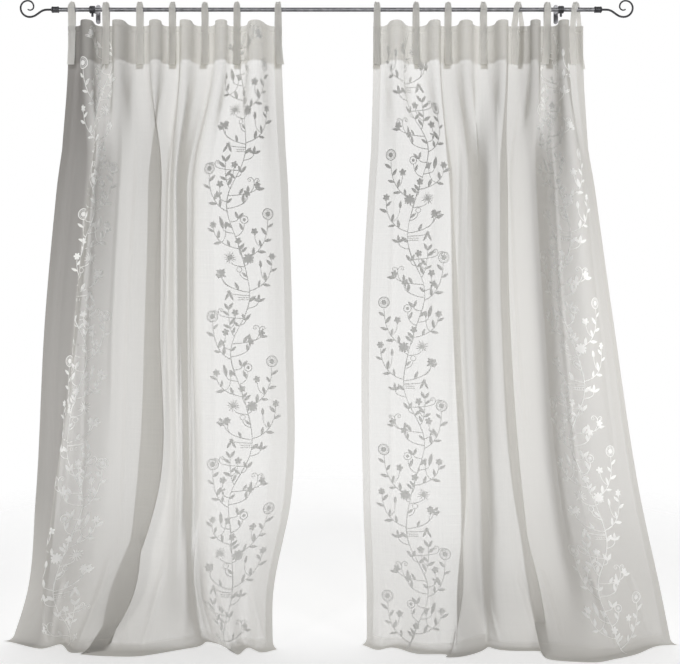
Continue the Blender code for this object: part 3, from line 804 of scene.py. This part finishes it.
# %% Hanging a point of the cloth
HEM_WAVES = 13.0
FRILL_WAVES = 118.0
FRILL_DRIFT = 31.0
NEAR = 0.001


def plans_of(curtain):
    body = [body_section(curtain, level) for level in LEVELS]
    return {"heading": heading_section(curtain.ties, curtain.leans), "body": body}


PLANS = {"left": plans_of(LEFT), "right": plans_of(RIGHT)}


def landing(across, drop):
    """How far the cloth has come down, and how far it lies out along the floor."""
    taken_up = 0.5 + 0.5 * np.sin(across * HEM_WAVES + 2.0)
    drop = drop - HEM_LIFT * taken_up * (np.clip(drop, 0, None) / CUT_DROP) ** 6
    fall = FLOOR_BELOW_ROD - HEADING_BELOW_ROD - CLOTH_THICKNESS
    bend = drop - (fall - LANDING_RADIUS)
    quarter = LANDING_RADIUS * math.pi / 2
    angle = np.clip(bend / LANDING_RADIUS, 0, math.pi / 2)
    past = np.clip(bend - quarter, 0, None)
    down = np.where(bend <= 0, drop, fall - LANDING_RADIUS + LANDING_RADIUS * np.sin(angle))
    return down, LANDING_RADIUS * (1 - np.cos(angle)) + past


def heading_rise(ties, across):
    """How far the top edge stands up in the span between two ties."""
    arc = span_arc(ties)
    start = ties[0].flat
    rise = np.zeros_like(across)
    for tie in ties[1:]:
        share = np.clip((across - start) / arc, 0, 1)
        rise = rise + HEADING_RISE * np.sin(math.pi * share) ** 2
        start += arc + tie.flat
    return rise


def crease_forward(curtain, across, drop):
    total = np.zeros_like(across)
    for crease in curtain.creases:
        share = np.clip((drop - crease.top) / (crease.bottom - crease.top), 0, 1)
        middle = crease.across + (crease.low_across - crease.across) * share
        window = smooth_step(share * 4) * smooth_step((1 - share) * 4)
        total += crease.forward * window * np.exp(-(((across - middle) / crease.width) ** 2))
    pinch = np.exp(-(((drop - STITCH_DROP) / PINCH_WIDTH) ** 2))
    ruffle = np.sin(across * FRILL_WAVES + 1.5 * np.sin(across * FRILL_DRIFT))
    frill = np.clip(1 - drop / STITCH_DROP, 0, 1) * ruffle
    return total - PINCH_DEPTH * pinch + FRILL_DEPTH * frill


def hang(curtain, across, drop):
    """The hanging places of points of the cut cloth."""
    across, drop = np.broadcast_arrays(np.asarray(across, float), np.asarray(drop, float))
    plans = PLANS[curtain.name]
    index = np.clip(across / CUT_WIDTH, 0, 1) * (SAMPLES - 1)
    places = np.arange(SAMPLES)
    level = np.maximum(drop, LEVELS["chest"])
    first, last = HEADING_FOLDS_KEPT
    kept = 1 - smooth_step((drop - first) / (last - first))
    position = []
    for axis in (0, 1):
        columns = np.array([np.interp(index, places, plan[axis]) for plan in plans["body"]])
        body = smooth_curve(level, list(LEVELS.values()), columns)
        position.append(body + kept * (np.interp(index, places, plans["heading"][axis]) - body))
    out, forward = position
    fallen, lying = landing(across, drop)
    outer = across / CUT_WIDTH
    # What lies on the floor fans out: to the middle at the leading edge, outwards at the other.
    swing = np.radians(-40 * (1 - outer) ** 3 + 65 * outer**5 + 14 * np.sin(outer * 21))
    out = out + lying * np.sin(swing)
    forward = forward + lying * np.cos(swing) + crease_forward(curtain, across, drop)
    rise = heading_rise(curtain.ties, across) * (1 - smooth_step(drop / RISE_FADE))
    height = rise - HEADING_BELOW_ROD - fallen
    return np.stack((curtain.side * out, -STAND_OFF - forward, height), axis=-1)


def room_normal(curtain, across, drop):
    """Which way the cloth faces, on its room side."""
    along = hang(curtain, across + NEAR, drop) - hang(curtain, across - NEAR, drop)
    down = hang(curtain, across, drop + NEAR) - hang(curtain, across, drop - NEAR)
    normal = np.cross(down, along) * curtain.side
    return normal / np.linalg.norm(normal, axis=-1, keepdims=True)


def layer(curtain, across, drop, offset):
    """A place a little in front of the cloth, or behind it."""
    return hang(curtain, across, drop) + room_normal(curtain, across, drop) * offset


# %% [markdown]
# ## The voile panels
#
# Each panel starts as Blender's grid, laid out as the cut cloth with closer rows at the heading
# and the hem. Its corner places are kept as a map called `cut`, and then each corner is moved
# to where it hangs. It stays one thin layer, because real voile is a fifth of a millimetre
# thick and two faces would look twice as dense.


# %% Grid helper
def spaced(*stretches):
    """Rows from several stretches of (start, end, steps)."""
    rows = []
    for start, end, steps in stretches:
        rows.extend(np.linspace(start, end, steps, endpoint=False))
    rows.append(stretches[-1][1])
    return np.array(rows)


def lower_share(drop):
    return np.clip((drop - TONE_DROPS[1]) / (TONE_DROPS[2] - TONE_DROPS[1]), 0, 1)


def tone_column(curtain, across, name):
    knots = [tone.across for tone in curtain.tones]
    return np.interp(across, knots, [getattr(tone, name) for tone in curtain.tones])


def eased_between(drop, limits):
    return smooth_step((drop - limits[0]) / (limits[1] - limits[0]))


# How light the thread is painted: painted shade from the table, plus painted light near the top of the
# heading.
def painted_shading_of(curtain, across, drop):
    chest, knee, foot = (tone_column(curtain, across, name) for name in ("chest", "knee", "foot"))
    upper = np.clip((drop - TONE_DROPS[0]) / (TONE_DROPS[1] - TONE_DROPS[0]), 0, 1)
    painted_light = HEADING_PAINTED_LIGHT * (1 - eased_between(drop, HEADING_PAINTED_LIGHT_FADE))
    return chest + (knee - chest) * upper + (foot - knee) * lower_share(drop) + painted_light


def panel_cover(curtain, across, drop):
    return tone_column(curtain, across, "cover") + FOOT_COVER * lower_share(drop)


def facing_cover(curtain, across, drop):
    return np.full_like(across, FACING_COVER)


def write_cut_map(data, across, drop):
    """Keep each corner's place on the cut cloth."""
    corner = np.empty(len(data.loops), int)
    data.loops.foreach_get("vertex_index", corner)
    places = np.stack((across[corner], drop[corner]), axis=-1)
    data.uv_layers.new(name="cut").data.foreach_set("uv", places.ravel())


def cloth_grid(name, curtain, lines, rows, offset, cover_of):
    steps_across = len(lines) - 1
    steps_down = len(rows) - 1
    bpy.ops.mesh.primitive_grid_add(x_subdivisions=steps_across, y_subdivisions=steps_down, size=1)
    piece = bpy.context.object
    data = piece.data
    piece.name = name
    data.name = name
    flat = np.empty(len(data.vertices) * 3)
    data.vertices.foreach_get("co", flat)
    flat = flat.reshape(-1, 3)
    across = lines[np.rint((flat[:, 0] + 0.5) * steps_across).astype(int)]
    drop = rows[np.rint((0.5 - flat[:, 1]) * steps_down).astype(int)]
    if curtain.side < 0:
        across = CUT_WIDTH - across
    data.vertices.foreach_set("co", layer(curtain, across, drop, offset).ravel())
    while data.uv_layers:
        data.uv_layers.remove(data.uv_layers[0])
    write_cut_map(data, across, drop)
    normal = room_normal(curtain, across, drop)
    least = HEADING_TURN + (PANEL_TURN - HEADING_TURN) * eased_between(drop, TURN_FADE)
    turned = 1 / np.clip(np.abs(normal[:, 1]), least, 1.0)
    cover = 1 - (1 - np.clip(cover_of(curtain, across, drop), 0, MOST_COVER)) ** turned
    # The cover and the painted shading are stored on the corners.
    for label, values in (("cover", cover), ("tone", painted_shading_of(curtain, across, drop))):
        attribute = data.attributes.new(label, "FLOAT", "POINT")
        attribute.data.foreach_set("value", values.astype(np.float32))
    data.shade_smooth()
    data.update()
    bpy.ops.object.select_all(action="DESELECT")
    return piece


# %% Panels
PANEL_LINES = np.linspace(0.0, CUT_WIDTH, 281)
PANEL_ROWS = spaced(
    (0, 0.05, 25), (0.05, 0.16, 14), (0.16, 0.62, 26), (0.62, 2.06, 58), (2.06, CUT_DROP, 52)
)
panels = {}
for curtain in (LEFT, RIGHT):
    panel = cloth_grid(f"voile_{curtain.name}", curtain, PANEL_LINES, PANEL_ROWS, 0.0, panel_cover)
    panel.data.materials.append(voile)
    panels[curtain.name] = panel
    print(panel.name, len(panel.data.polygons), "faces")

# %% [markdown]
# ## The heading facings
#
# A strip of the same voile is sewn behind the top of each panel, which makes the upper hand's
# breadth look doubled. It follows the same folds, one layer further back.

# %% Facings
FACING_ROWS = spaced((0.0, 0.05, 25), (0.05, FACING_DROP, 12))
facings = {}
for curtain in (LEFT, RIGHT):
    name = f"heading_{curtain.name}"
    facing = cloth_grid(name, curtain, PANEL_LINES, FACING_ROWS, -LAYER_OFFSET, facing_cover)
    facing.data.materials.append(heading_voile)
    facings[curtain.name] = facing
    print(facing.name, len(facing.data.polygons), "faces")


# %% [markdown]
# ## The ties
#
# Each tie is a flat band folded over the rod: one tail in front of the heading and one behind.
# The band is drawn as rings from tail to tail. Over the rod it is bunched up into a thick,
# creased crown, and its free ends hang loose below the heading.

# %% Tie stations
TIE_THICKNESS = 0.0011
FRONT_TIE_OFFSET = 0.0018
BACK_TIE_OFFSET = 0.0032
LOOP_CLEARANCE = 0.0105
CROWN_HEIGHT = 0.029
FRONT_TAIL = 0.122
BACK_TAIL = 0.138
RING_POINTS = 22
BAND_RINGS = 84
LOOP_STEPS = 8
HALF_OF_BAND = 0.47
GAP_BELOW_ROD = 0.030
TAIL_LIFT = 0.002
CROWN_ROUNDING = 1.4
BUNCHING = 0.010
TAIL_PLEAT = 0.0003
CROWN_PLEAT = 0.0014
CROWN_LUMP = 0.0010
SMOOTH_ANGLE = math.radians(50)
Station = namedtuple("Station", "middle half outward outer inner")


def tie_stations(curtain, tie, place):
    """From the end of the front tail, up over the rod and down to the end of the back tail."""
    side = curtain.side
    thin = TIE_THICKNESS / 2
    stations = []

    def on_cloth(drop, offset, shift, outward):
        normal = room_normal(curtain, place, drop)
        along = np.array((normal[1], -normal[0], 0.0)) * side
        along = along / np.linalg.norm(along)
        middle = hang(curtain, place, drop) + normal * offset - along * shift
        half = along * (tie.front if outward > 0 else tie.back) / 2
        stations.append(Station(middle, half, normal * outward, thin, thin))

    def in_air(height, forward, shift):
        middle = np.array((side * (tie.middle + shift), -STAND_OFF - forward, height))
        outward = np.array((0.0, -1.0 if forward > 0 else 1.0, 0.0))
        width = tie.front if forward > 0 else tie.back
        half = np.array((-side * width * HALF_OF_BAND, 0.0, 0.0))
        stations.append(Station(middle, half, outward, thin, thin))

    for share in (1.0, 0.8, 0.6, 0.4, 0.2):
        swing = tie.front_swing * share**2
        lift = TAIL_LIFT * share + 0.6 * abs(swing)
        on_cloth(STITCH_DROP + FRONT_TAIL * share, FRONT_TIE_OFFSET + lift, swing - tie.spread, 1.0)
    on_cloth(STITCH_DROP, FRONT_TIE_OFFSET, -tie.spread, 1.0)
    on_cloth(0.0, FRONT_TIE_OFFSET, -tie.spread, 1.0)
    in_air(-GAP_BELOW_ROD, LOOP_CLEARANCE * 0.72, -tie.spread * 0.8)
    for step in range(LOOP_STEPS + 1):
        angle = math.pi * step / LOOP_STEPS
        around = np.array((0.0, -math.cos(angle), math.sin(angle)))
        middle = np.array((side * tie.middle, -STAND_OFF, 0.0)) + around * LOOP_CLEARANCE
        middle[0] += side * tie.spread * 0.6 * -math.cos(angle)
        outer = thin + (CROWN_HEIGHT - LOOP_CLEARANCE) * math.sin(angle) ** CROWN_ROUNDING
        width = tie.front + (tie.back - tie.front) * step / LOOP_STEPS + 0.6 * tie.spread * math.sin(angle)
        half = np.array((-side * width * HALF_OF_BAND, 0.0, 0.0))
        stations.append(Station(middle, half, around, outer, thin))
    in_air(-GAP_BELOW_ROD, -LOOP_CLEARANCE * 0.76, tie.spread * 0.8)
    on_cloth(0.0, -BACK_TIE_OFFSET, tie.spread, -1.0)
    on_cloth(STITCH_DROP, -BACK_TIE_OFFSET, tie.spread, -1.0)
    for share in (0.3, 0.65, 1.0):
        swing = tie.back_swing * share**2
        offset = -BACK_TIE_OFFSET - TAIL_LIFT * share
        on_cloth(STITCH_DROP + BACK_TAIL * share, offset, tie.spread + swing, -1.0)
    return stations


def eased(stations, steps):
    """More stations, along a smooth curve through the given ones."""
    rows = np.array([(*row.middle, *row.half, *row.outward, row.outer, row.inner) for row in stations])
    run = np.concatenate(((0.0,), np.cumsum(np.linalg.norm(np.diff(rows[:, :3], axis=0), axis=1))))
    even = np.linspace(0.0, run[-1], steps)
    fine = np.stack([smooth_curve(even, run, rows[:, column]) for column in range(rows.shape[1])], axis=-1)
    return even, fine


# %% Tie bands
def tie_ring(row, along, number):
    """One ring of the band: flat, with soft pleats that deepen into a knotty lump over the rod."""
    middle, half, outward = row[:3], row[3:6], row[6:9]
    outward = outward / np.linalg.norm(outward)
    outer, inner = row[9:]
    bunched = float(np.clip((outer - TIE_THICKNESS) / BUNCHING, 0, 1))
    half = half * (1 - 0.12 * bunched + 0.05 * bunched * math.sin(along * 150.0 + number))
    ring = []
    steps = RING_POINTS // 2
    for step in range(steps):
        place = -1 + 2 * step / (steps - 1)
        rounded = (1 - abs(place) ** 3.5) ** 0.5
        deep = TAIL_PLEAT + CROWN_PLEAT * bunched
        pleat = math.sin(place * 6.0 + number * 1.7 + along * 70.0) * deep
        pleat += CROWN_LUMP * bunched * math.sin(place * 2.5 - along * 210.0 + number * 2.3)
        reach = outer * (1 - bunched + bunched * (0.45 + 0.55 * rounded)) + pleat
        ring.append(middle + half * place + outward * reach)
    for step in range(steps):
        place = 1 - 2 * step / (steps - 1)
        ring.append(middle + half * place * 0.98 - outward * inner)
    return ring


def new_piece(name, points, faces):
    data = bpy.data.meshes.new(name)
    data.from_pydata(points, [], faces)
    piece = bpy.data.objects.new(name, data)
    bpy.context.scene.collection.objects.link(piece)
    return piece


def tie_band(name, curtain, tie, place, number):
    even, rows = eased(tie_stations(curtain, tie, place), BAND_RINGS)
    points = [tuple(point) for row, along in zip(rows, even) for point in tie_ring(row, along, number)]
    faces = []
    for start in range(0, len(points) - RING_POINTS, RING_POINTS):
        beyond = start + RING_POINTS
        for corner in range(RING_POINTS):
            after = (corner + 1) % RING_POINTS
            faces.append((start + corner, start + after, beyond + after, beyond + corner))
    faces.append(tuple(range(RING_POINTS)))
    faces.append(tuple(reversed(range(len(points) - RING_POINTS, len(points)))))
    piece = new_piece(name, points, faces)
    around = np.arange(RING_POINTS) * 2 * tie.front / RING_POINTS
    write_cut_map(piece.data, np.tile(around, BAND_RINGS), np.repeat(even, RING_POINTS))
    bpy.context.view_layer.objects.active = piece
    piece.select_set(True)
    bpy.ops.object.mode_set(mode="EDIT")
    bpy.ops.mesh.select_all(action="SELECT")
    bpy.ops.mesh.normals_make_consistent(inside=False)
    bpy.ops.object.mode_set(mode="OBJECT")
    bpy.ops.object.shade_smooth_by_angle(angle=SMOOTH_ANGLE)
    piece.select_set(False)
    piece.data.materials.append(tie_voile)
    return piece


ties = {}
for curtain in (LEFT, RIGHT):
    for number, (tie, place) in enumerate(zip(curtain.ties, tie_places(curtain.ties)), 1):
        name = f"band_{curtain.name}_{number}"
        ties[curtain.name, number] = tie_band(name, curtain, tie, place, number)
print("ties", len(ties))

# %% [markdown]
# ## The vine embroidery
#
# A trailing vine climbs the border on both sides of each panel. It is drawn on the flat cut, as
# an embroiderer would chart it, and each stitch is then hung with the cloth. One repeat of the
# chart is set out one by one as sprays that leave the stem: how high in the repeat, to which
# side, how far they reach and rise, and what they carry.

# %% Embroidery chart
VINE_REPEAT = 0.552
VINE_MIDDLE = 0.195
VINE_SWAY = 0.036
VINE_RIPPLE = 0.006
OUTER_VINE_INSET = 0.035
VINE_RANGE = (0.030, 2.346)
VINE_BASES = {"left": 2.350, "right": 2.681}
THREAD_RISE = 0.0007
THREAD_CLEARANCE = 0.0004
STEM_WIDTH = 0.0034
SHOOT_WIDTH = 0.0027
STEM_LEAVES = 6
LADDER_RISE = 0.222
LADDER_SIZE = (0.042, 0.009)
LADDER_SPACES = 5
# Sprays, and the leaves and ladders on the stem, keep this far inside the ends of the vine.
TOP_MARGIN = 0.015
FOOT_MARGIN = 0.020
STEM_MARGIN = 0.030
STEM_STEP = 0.010
# Height in the repeat counts upwards from its foot. Reach is sideways, plus is away from the
# cloth's edge, and rise is upwards.
Spray = namedtuple("Spray", "height side reach rise tip leaves twig")
SPRAYS = rows_of(
    Spray,
    (0.000, 1, 0.066, 0.140, "wheel", 5, "flower"),
    (0.010, -1, 0.074, 0.046, "flower", 1, "bud"),
    (0.036, 1, 0.030, 0.026, "cross", 0, None),
    (0.058, -1, 0.108, 0.030, "flower", 2, "tendril"),
    (0.085, 1, 0.020, 0.100, "leaf_pair", 4, "flower"),
    (0.128, -1, 0.020, 0.016, "leaf_pair", 0, None),
    (0.152, 1, 0.092, 0.020, "tendril", 0, None),
    (0.190, -1, 0.040, 0.024, "leaf_trio", 0, None),
    (0.238, 1, 0.076, 0.012, "droop", 0, None),
    (0.250, 1, 0.104, 0.070, "four_petal", 2, "flower"),
    (0.255, -1, 0.088, 0.118, "flower", 5, "bud"),
    (0.296, 1, 0.030, 0.030, "small_ring", 0, None),
    (0.345, 1, 0.050, 0.018, "daisy", 0, None),
    (0.350, -1, 0.014, 0.010, "aster", 0, None),
    (0.372, -1, 0.098, 0.150, "wheel", 6, "flower"),
    (0.386, 1, 0.012, 0.046, "flower", 1, None),
    (0.412, 1, 0.096, 0.080, "flower", 4, "bud"),
    (0.458, -1, 0.034, 0.050, "ring", 1, None),
    (0.470, 1, 0.040, 0.016, "long_leaf", 0, None),
    (0.512, -1, 0.030, 0.012, "leaf_pair", 0, None),
)


# %% [markdown]
# Motifs are made of filled shapes with a little crown in the middle, which is how padded satin
# stitch stands up from cloth. A filled shape is a fan of faces on the flat chart, and a stroke
# is a ribbon of them.


# %% Flat shapes
class Chart:
    """Flat shapes on the cut cloth: points (across, drop, height) and faces."""

    def __init__(self):
        self.points = []
        self.faces = []

    def fan(self, outline, middle, height):
        """A filled shape with a raised middle."""
        start = len(self.points)
        self.points.append((middle[0], middle[1], height))
        self.points.extend((x, y, 0.0) for x, y in outline)
        count = len(outline)
        for number in range(count):
            self.faces.append((start, start + 1 + number, start + 1 + (number + 1) % count))

    def ribbon(self, line, widths):
        """A stroke with a raised middle line."""
        line = np.asarray(line, float)
        ahead = np.gradient(line, axis=0)
        ahead /= np.maximum(np.linalg.norm(ahead, axis=1, keepdims=True), 1e-9)
        aside = np.stack((-ahead[:, 1], ahead[:, 0]), axis=-1) * np.asarray(widths)[:, None] / 2
        start = len(self.points)
        for place, side in zip(line, aside):
            self.points.append((*(place - side), 0.0))
            self.points.append((*place, THREAD_RISE))
            self.points.append((*(place + side), 0.0))
        for number in range(len(line) - 1):
            left = start + 3 * number
            self.faces.append((left, left + 1, left + 4, left + 3))
            self.faces.append((left + 1, left + 2, left + 5, left + 4))


def turned_by(points, angle):
    cosine, sine = math.cos(angle), math.sin(angle)
    return [(x * cosine - y * sine, x * sine + y * cosine) for x, y in points]


def moved(points, place):
    return [(x + place[0], y + place[1]) for x, y in points]


# %% Motifs
RING_STEPS = 20
CURL_STEPS = 22
DAISY_RAYS = 12


def leaf(chart, foot, angle, length, plump=0.38):
    """An almond leaf with its tip away from its foot."""
    shares = (0.0, 0.18, 0.42, 0.68, 0.88, 1.0)
    half = (0.0, 0.62, 1.0, 0.82, 0.42, 0.0)
    right = [(length * s, length * plump / 2 * h) for s, h in zip(shares, half)]
    left = [(x, -y) for x, y in reversed(right[1:-1])]
    outline = moved(turned_by(right + left, angle), foot)
    middle = (foot[0] + math.cos(angle) * length * 0.5, foot[1] + math.sin(angle) * length * 0.5)
    chart.fan(outline, middle, THREAD_RISE * 1.4)


def petals(chart, middle, count, inner, outer, turn=0.0, plump=0.8):
    """A rosette: rounded petals round a solid middle."""
    outline = []
    for number in range(count * 4):
        angle = turn + 2 * math.pi * number / (count * 4)
        phase = (number % 4) / 4
        radius = inner + (outer - inner) * (math.sin(math.pi * phase) ** plump if phase else 0.0)
        outline.append((middle[0] + radius * math.cos(angle), middle[1] + radius * math.sin(angle)))
    chart.fan(outline, middle, THREAD_RISE * 1.6)


def ring(chart, middle, radius, width):
    """A stroke that closes on itself."""
    angles = np.linspace(0, 2 * math.pi, RING_STEPS + 1)
    line = np.stack((middle[0] + radius * np.cos(angles), middle[1] + radius * np.sin(angles)), axis=-1)
    chart.ribbon(line, np.full(len(angles), width))


def daisy(chart, middle, angle, size):
    """Narrow ray petals all round a small head, with a gap where the stalk comes in."""
    for number in range(DAISY_RAYS):
        ray = angle + math.radians(-154 + 28 * number)
        leaf(chart, middle, ray, size * (0.48 + 0.05 * ((number * 5) % 3)), 0.15)
    petals(chart, middle, 6, size * 0.12, size * 0.17)


def aster(chart, middle, size):
    """A full round flower with many short notched petals."""
    petals(chart, middle, 9, size * 0.36, size * 0.52, 0.2, 0.5)
    for number in range(4):
        spoke = math.radians(45 + 90 * number)
        place = (middle[0] + size * 0.52 * math.cos(spoke), middle[1] + size * 0.52 * math.sin(spoke))
        petals(chart, place, 4, 0.0016, 0.0030)


def curl(chart, foot, angle, size, bend):
    """A tendril that winds up into a hook."""
    heading = angle
    place = np.array(foot, float)
    line = [place.copy()]
    for number in range(CURL_STEPS):
        share = number / CURL_STEPS
        heading += bend * math.radians(9 + 26 * share)
        place = place + np.array((math.cos(heading), math.sin(heading))) * size * 0.19 * (1 - 0.55 * share)
        line.append(place.copy())
    chart.ribbon(line, np.linspace(SHOOT_WIDTH, SHOOT_WIDTH * 0.8, len(line)))


def tip_motif(chart, kind, place, angle, variety):
    """What a shoot carries at its end."""
    ahead = (math.cos(angle), math.sin(angle))

    def beyond(distance):
        return (place[0] + ahead[0] * distance, place[1] + ahead[1] * distance)

    if kind == "flower":
        petals(chart, beyond(0.010), 5 + variety % 2, 0.0082, 0.0140, variety * 0.4)
    elif kind == "bud":
        leaf(chart, place, angle, 0.030, 0.40)
    elif kind == "wheel":
        middle = beyond(0.020)
        ring(chart, middle, 0.0200, 0.0036)
        petals(chart, middle, 8, 0.0088, 0.0105)
        ring(chart, middle, 0.0145, 0.0016)
    elif kind == "ring":
        middle = beyond(0.013)
        ring(chart, middle, 0.0140, 0.0030)
        petals(chart, middle, 6, 0.0052, 0.0068)
    elif kind == "small_ring":
        ring(chart, beyond(0.009), 0.0095, 0.0024)
    elif kind == "daisy":
        daisy(chart, beyond(0.016), angle, 0.046)
    elif kind == "aster":
        aster(chart, beyond(0.016), 0.038)
    elif kind == "leaf_pair":
        leaf(chart, place, angle - 0.55, 0.032)
        leaf(chart, place, angle + 0.55, 0.030)
    elif kind == "leaf_trio":
        for turn in (-1.0, 0.0, 1.0):
            leaf(chart, place, angle + turn, 0.030)
    elif kind == "long_leaf":
        leaf(chart, place, angle, 0.050, 0.30)
    elif kind == "four_petal":
        for turn in range(4):
            leaf(chart, place, angle + math.pi / 4 + turn * math.pi / 2, 0.023, 0.42)
        curl(chart, place, angle + 0.3, 0.014, 1)
    elif kind == "cross":
        for turn in range(4):
            leaf(chart, place, angle + 0.4 + turn * math.pi / 2, 0.016, 0.5)
    elif kind == "droop":
        petals(chart, place, 5, 0.0050, 0.0085)
        leaf(chart, place, math.radians(62), 0.034, 0.30)
        leaf(chart, place, math.radians(118), 0.034, 0.30)
    elif kind == "tendril":
        curl(chart, place, angle, 0.020, 1)
        curl(chart, place, angle, 0.017, -1)


# %% [markdown]
# Shoots grow upwards. On the cut cloth drop counts downwards, so a shoot that rises goes towards
# smaller drops, and the leaves along it lean the same way, first to one side and then the other.


# %% Shoots
def stem_place(drop, base):
    """The stem's place across the cloth, counted from the side edge."""
    turn = 2 * math.pi * (base - drop) / VINE_REPEAT
    return VINE_MIDDLE + VINE_SWAY * np.cos(turn) + VINE_RIPPLE * np.sin(2 * turn + 0.5)


def shoot_line(foot, side, reach, rise):
    """A curved shoot that sets off sideways and then turns up."""
    share = np.linspace(0, 1, 9)
    across = foot[0] + side * reach * np.sin(share * math.pi / 2)
    drop = foot[1] - rise * (0.25 * share + 0.75 * share**2)
    return np.stack((across, drop), axis=-1)


def heading_of(line, index):
    """Which way a line runs at one of its points."""
    after = line[min(index + 1, len(line) - 1)]
    before = line[max(index - 1, 0)]
    return math.atan2(after[1] - before[1], after[0] - before[0])


def spray(chart, row, base, variety):
    """One shoot from the stem, with its leaves, its tip and perhaps a twig."""
    drop = base - row.height
    foot = (float(stem_place(drop, base)), drop)
    line = shoot_line(foot, row.side, row.reach, row.rise)
    chart.ribbon(line, np.linspace(SHOOT_WIDTH * 1.2, SHOOT_WIDTH * 0.85, len(line)))
    tip_motif(chart, row.tip, line[-1], heading_of(line, len(line) - 1), variety)
    for number in range(row.leaves):
        index = 2 + round(number * 5 / max(row.leaves - 1, 1)) if row.leaves > 1 else 5
        lean = row.side * (0.85 if number % 2 else -0.85)
        leaf(chart, line[index], heading_of(line, index) + lean, 0.028 + 0.003 * ((variety + number) % 3))
    if row.twig:
        start = line[4]
        side = -row.side if variety % 2 else row.side
        twig = shoot_line(start, side, 0.018 + 0.005 * (variety % 3), 0.042 + 0.006 * (variety % 2))
        chart.ribbon(twig, np.full(len(twig), SHOOT_WIDTH * 0.85))
        tip_motif(chart, row.twig, twig[-1], heading_of(twig, len(twig) - 1), variety + 1)


def ladder(chart, foot, length, height):
    """Two level lines joined by short cross stitches."""
    for level in (0.0, height):
        line = [(foot[0] + length * share, foot[1] - level) for share in (0.0, 0.5, 1.0)]
        chart.ribbon(line, np.full(3, SHOOT_WIDTH * 0.7))
    for number in range(1, LADDER_SPACES):
        across = foot[0] + length * number / LADDER_SPACES
        rung = [(across, foot[1]), (across + 0.002, foot[1] - height)]
        chart.ribbon(rung, np.full(2, SHOOT_WIDTH * 0.6))


def draw_vine(base):
    chart = Chart()
    first, last = VINE_RANGE
    drops = np.arange(first, last, STEM_STEP)
    widths = STEM_WIDTH * (0.9 + 0.25 * np.sin(drops * 31.0))
    chart.ribbon(np.stack((stem_place(drops, base), drops), axis=-1), widths)
    variety = 0
    while base > first:
        for row in SPRAYS:
            variety += 1
            start = base - row.height
            if first + TOP_MARGIN < start - row.rise and start < last - FOOT_MARGIN:
                spray(chart, row, base, variety)
        for number in range(STEM_LEAVES):
            drop = base - 0.030 - number * VINE_REPEAT / STEM_LEAVES
            if first + STEM_MARGIN < drop < last - STEM_MARGIN:
                side = 1 if number % 2 else -1
                foot = (float(stem_place(drop, base)), drop)
                leaf(chart, foot, math.radians(-90 + 48 * side), 0.028 + 0.003 * (number % 3))
        drop = base - LADDER_RISE
        if first + STEM_MARGIN < drop < last - STEM_MARGIN:
            ladder(chart, (float(stem_place(drop, base)), drop), *LADDER_SIZE)
        base -= VINE_REPEAT
    return chart


vines_drawn = {name: draw_vine(base) for name, base in VINE_BASES.items()}
for name, chart in vines_drawn.items():
    print("vine chart", name, len(chart.points), "points", len(chart.faces), "faces")


# %% [markdown]
# Each curtain has its own chart, and hangs it twice: up the leading edge and up the outer edge,
# as mirror images. Each point goes to its place on the cloth, raised by the height of its stitches.


# %% Hanging the vines
def hang_vine(name, curtain, outer_edge):
    chart = vines_drawn[curtain.name]
    points = np.array(chart.points)
    across = CUT_WIDTH - OUTER_VINE_INSET - points[:, 0] if outer_edge else points[:, 0]
    drop = points[:, 1]
    places = layer(curtain, across, drop, (THREAD_CLEARANCE + points[:, 2])[:, None])
    flip = (curtain.side > 0) == outer_edge
    faces = [tuple(reversed(face)) for face in chart.faces] if flip else chart.faces
    piece = new_piece(name, places.tolist(), faces)
    write_cut_map(piece.data, across, drop)
    # The outer vines take the paler thread, as painted light, and the leading vines the darker one, as
    # painted shade.
    piece.data.materials.append(painted_light_stitch if outer_edge else painted_shade_stitch)
    piece.data.shade_smooth()
    return piece


vines = {}
for curtain in (LEFT, RIGHT):
    for edge, outer_edge in (("leading", False), ("outer", True)):
        piece = hang_vine(f"vine_{curtain.name}_{edge}", curtain, outer_edge)
        vines[curtain.name, edge] = piece
        towards_room = sum(polygon.normal.y for polygon in piece.data.polygons) < 0
        print(piece.name, len(piece.data.polygons), "faces, towards the room:", towards_room)

# %% [markdown]
# ## Declaring the pieces
#
# Each piece rides on the one body. The imported solids that the cloth and ties stand for are
# hidden, and the embroidery stands for none.

# %% Declarations
for curtain in (LEFT, RIGHT):
    name = curtain.name
    panel = panels[name]
    facing = facings[name]
    sewn_on = [facing, vines[name, "leading"], vines[name, "outer"]]
    sewn_on += [ties[name, number] for number in range(1, 8)]
    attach(panel, "root")
    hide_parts(f"panel_{name}")
    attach(facing, "root")
    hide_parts(f"facing_{name}")
    for edge in ("leading", "outer"):
        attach(vines[name, edge], "root")
    for number in range(1, 8):
        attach(ties[name, number], "root")
        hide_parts(f"tie_{name}_{number}")
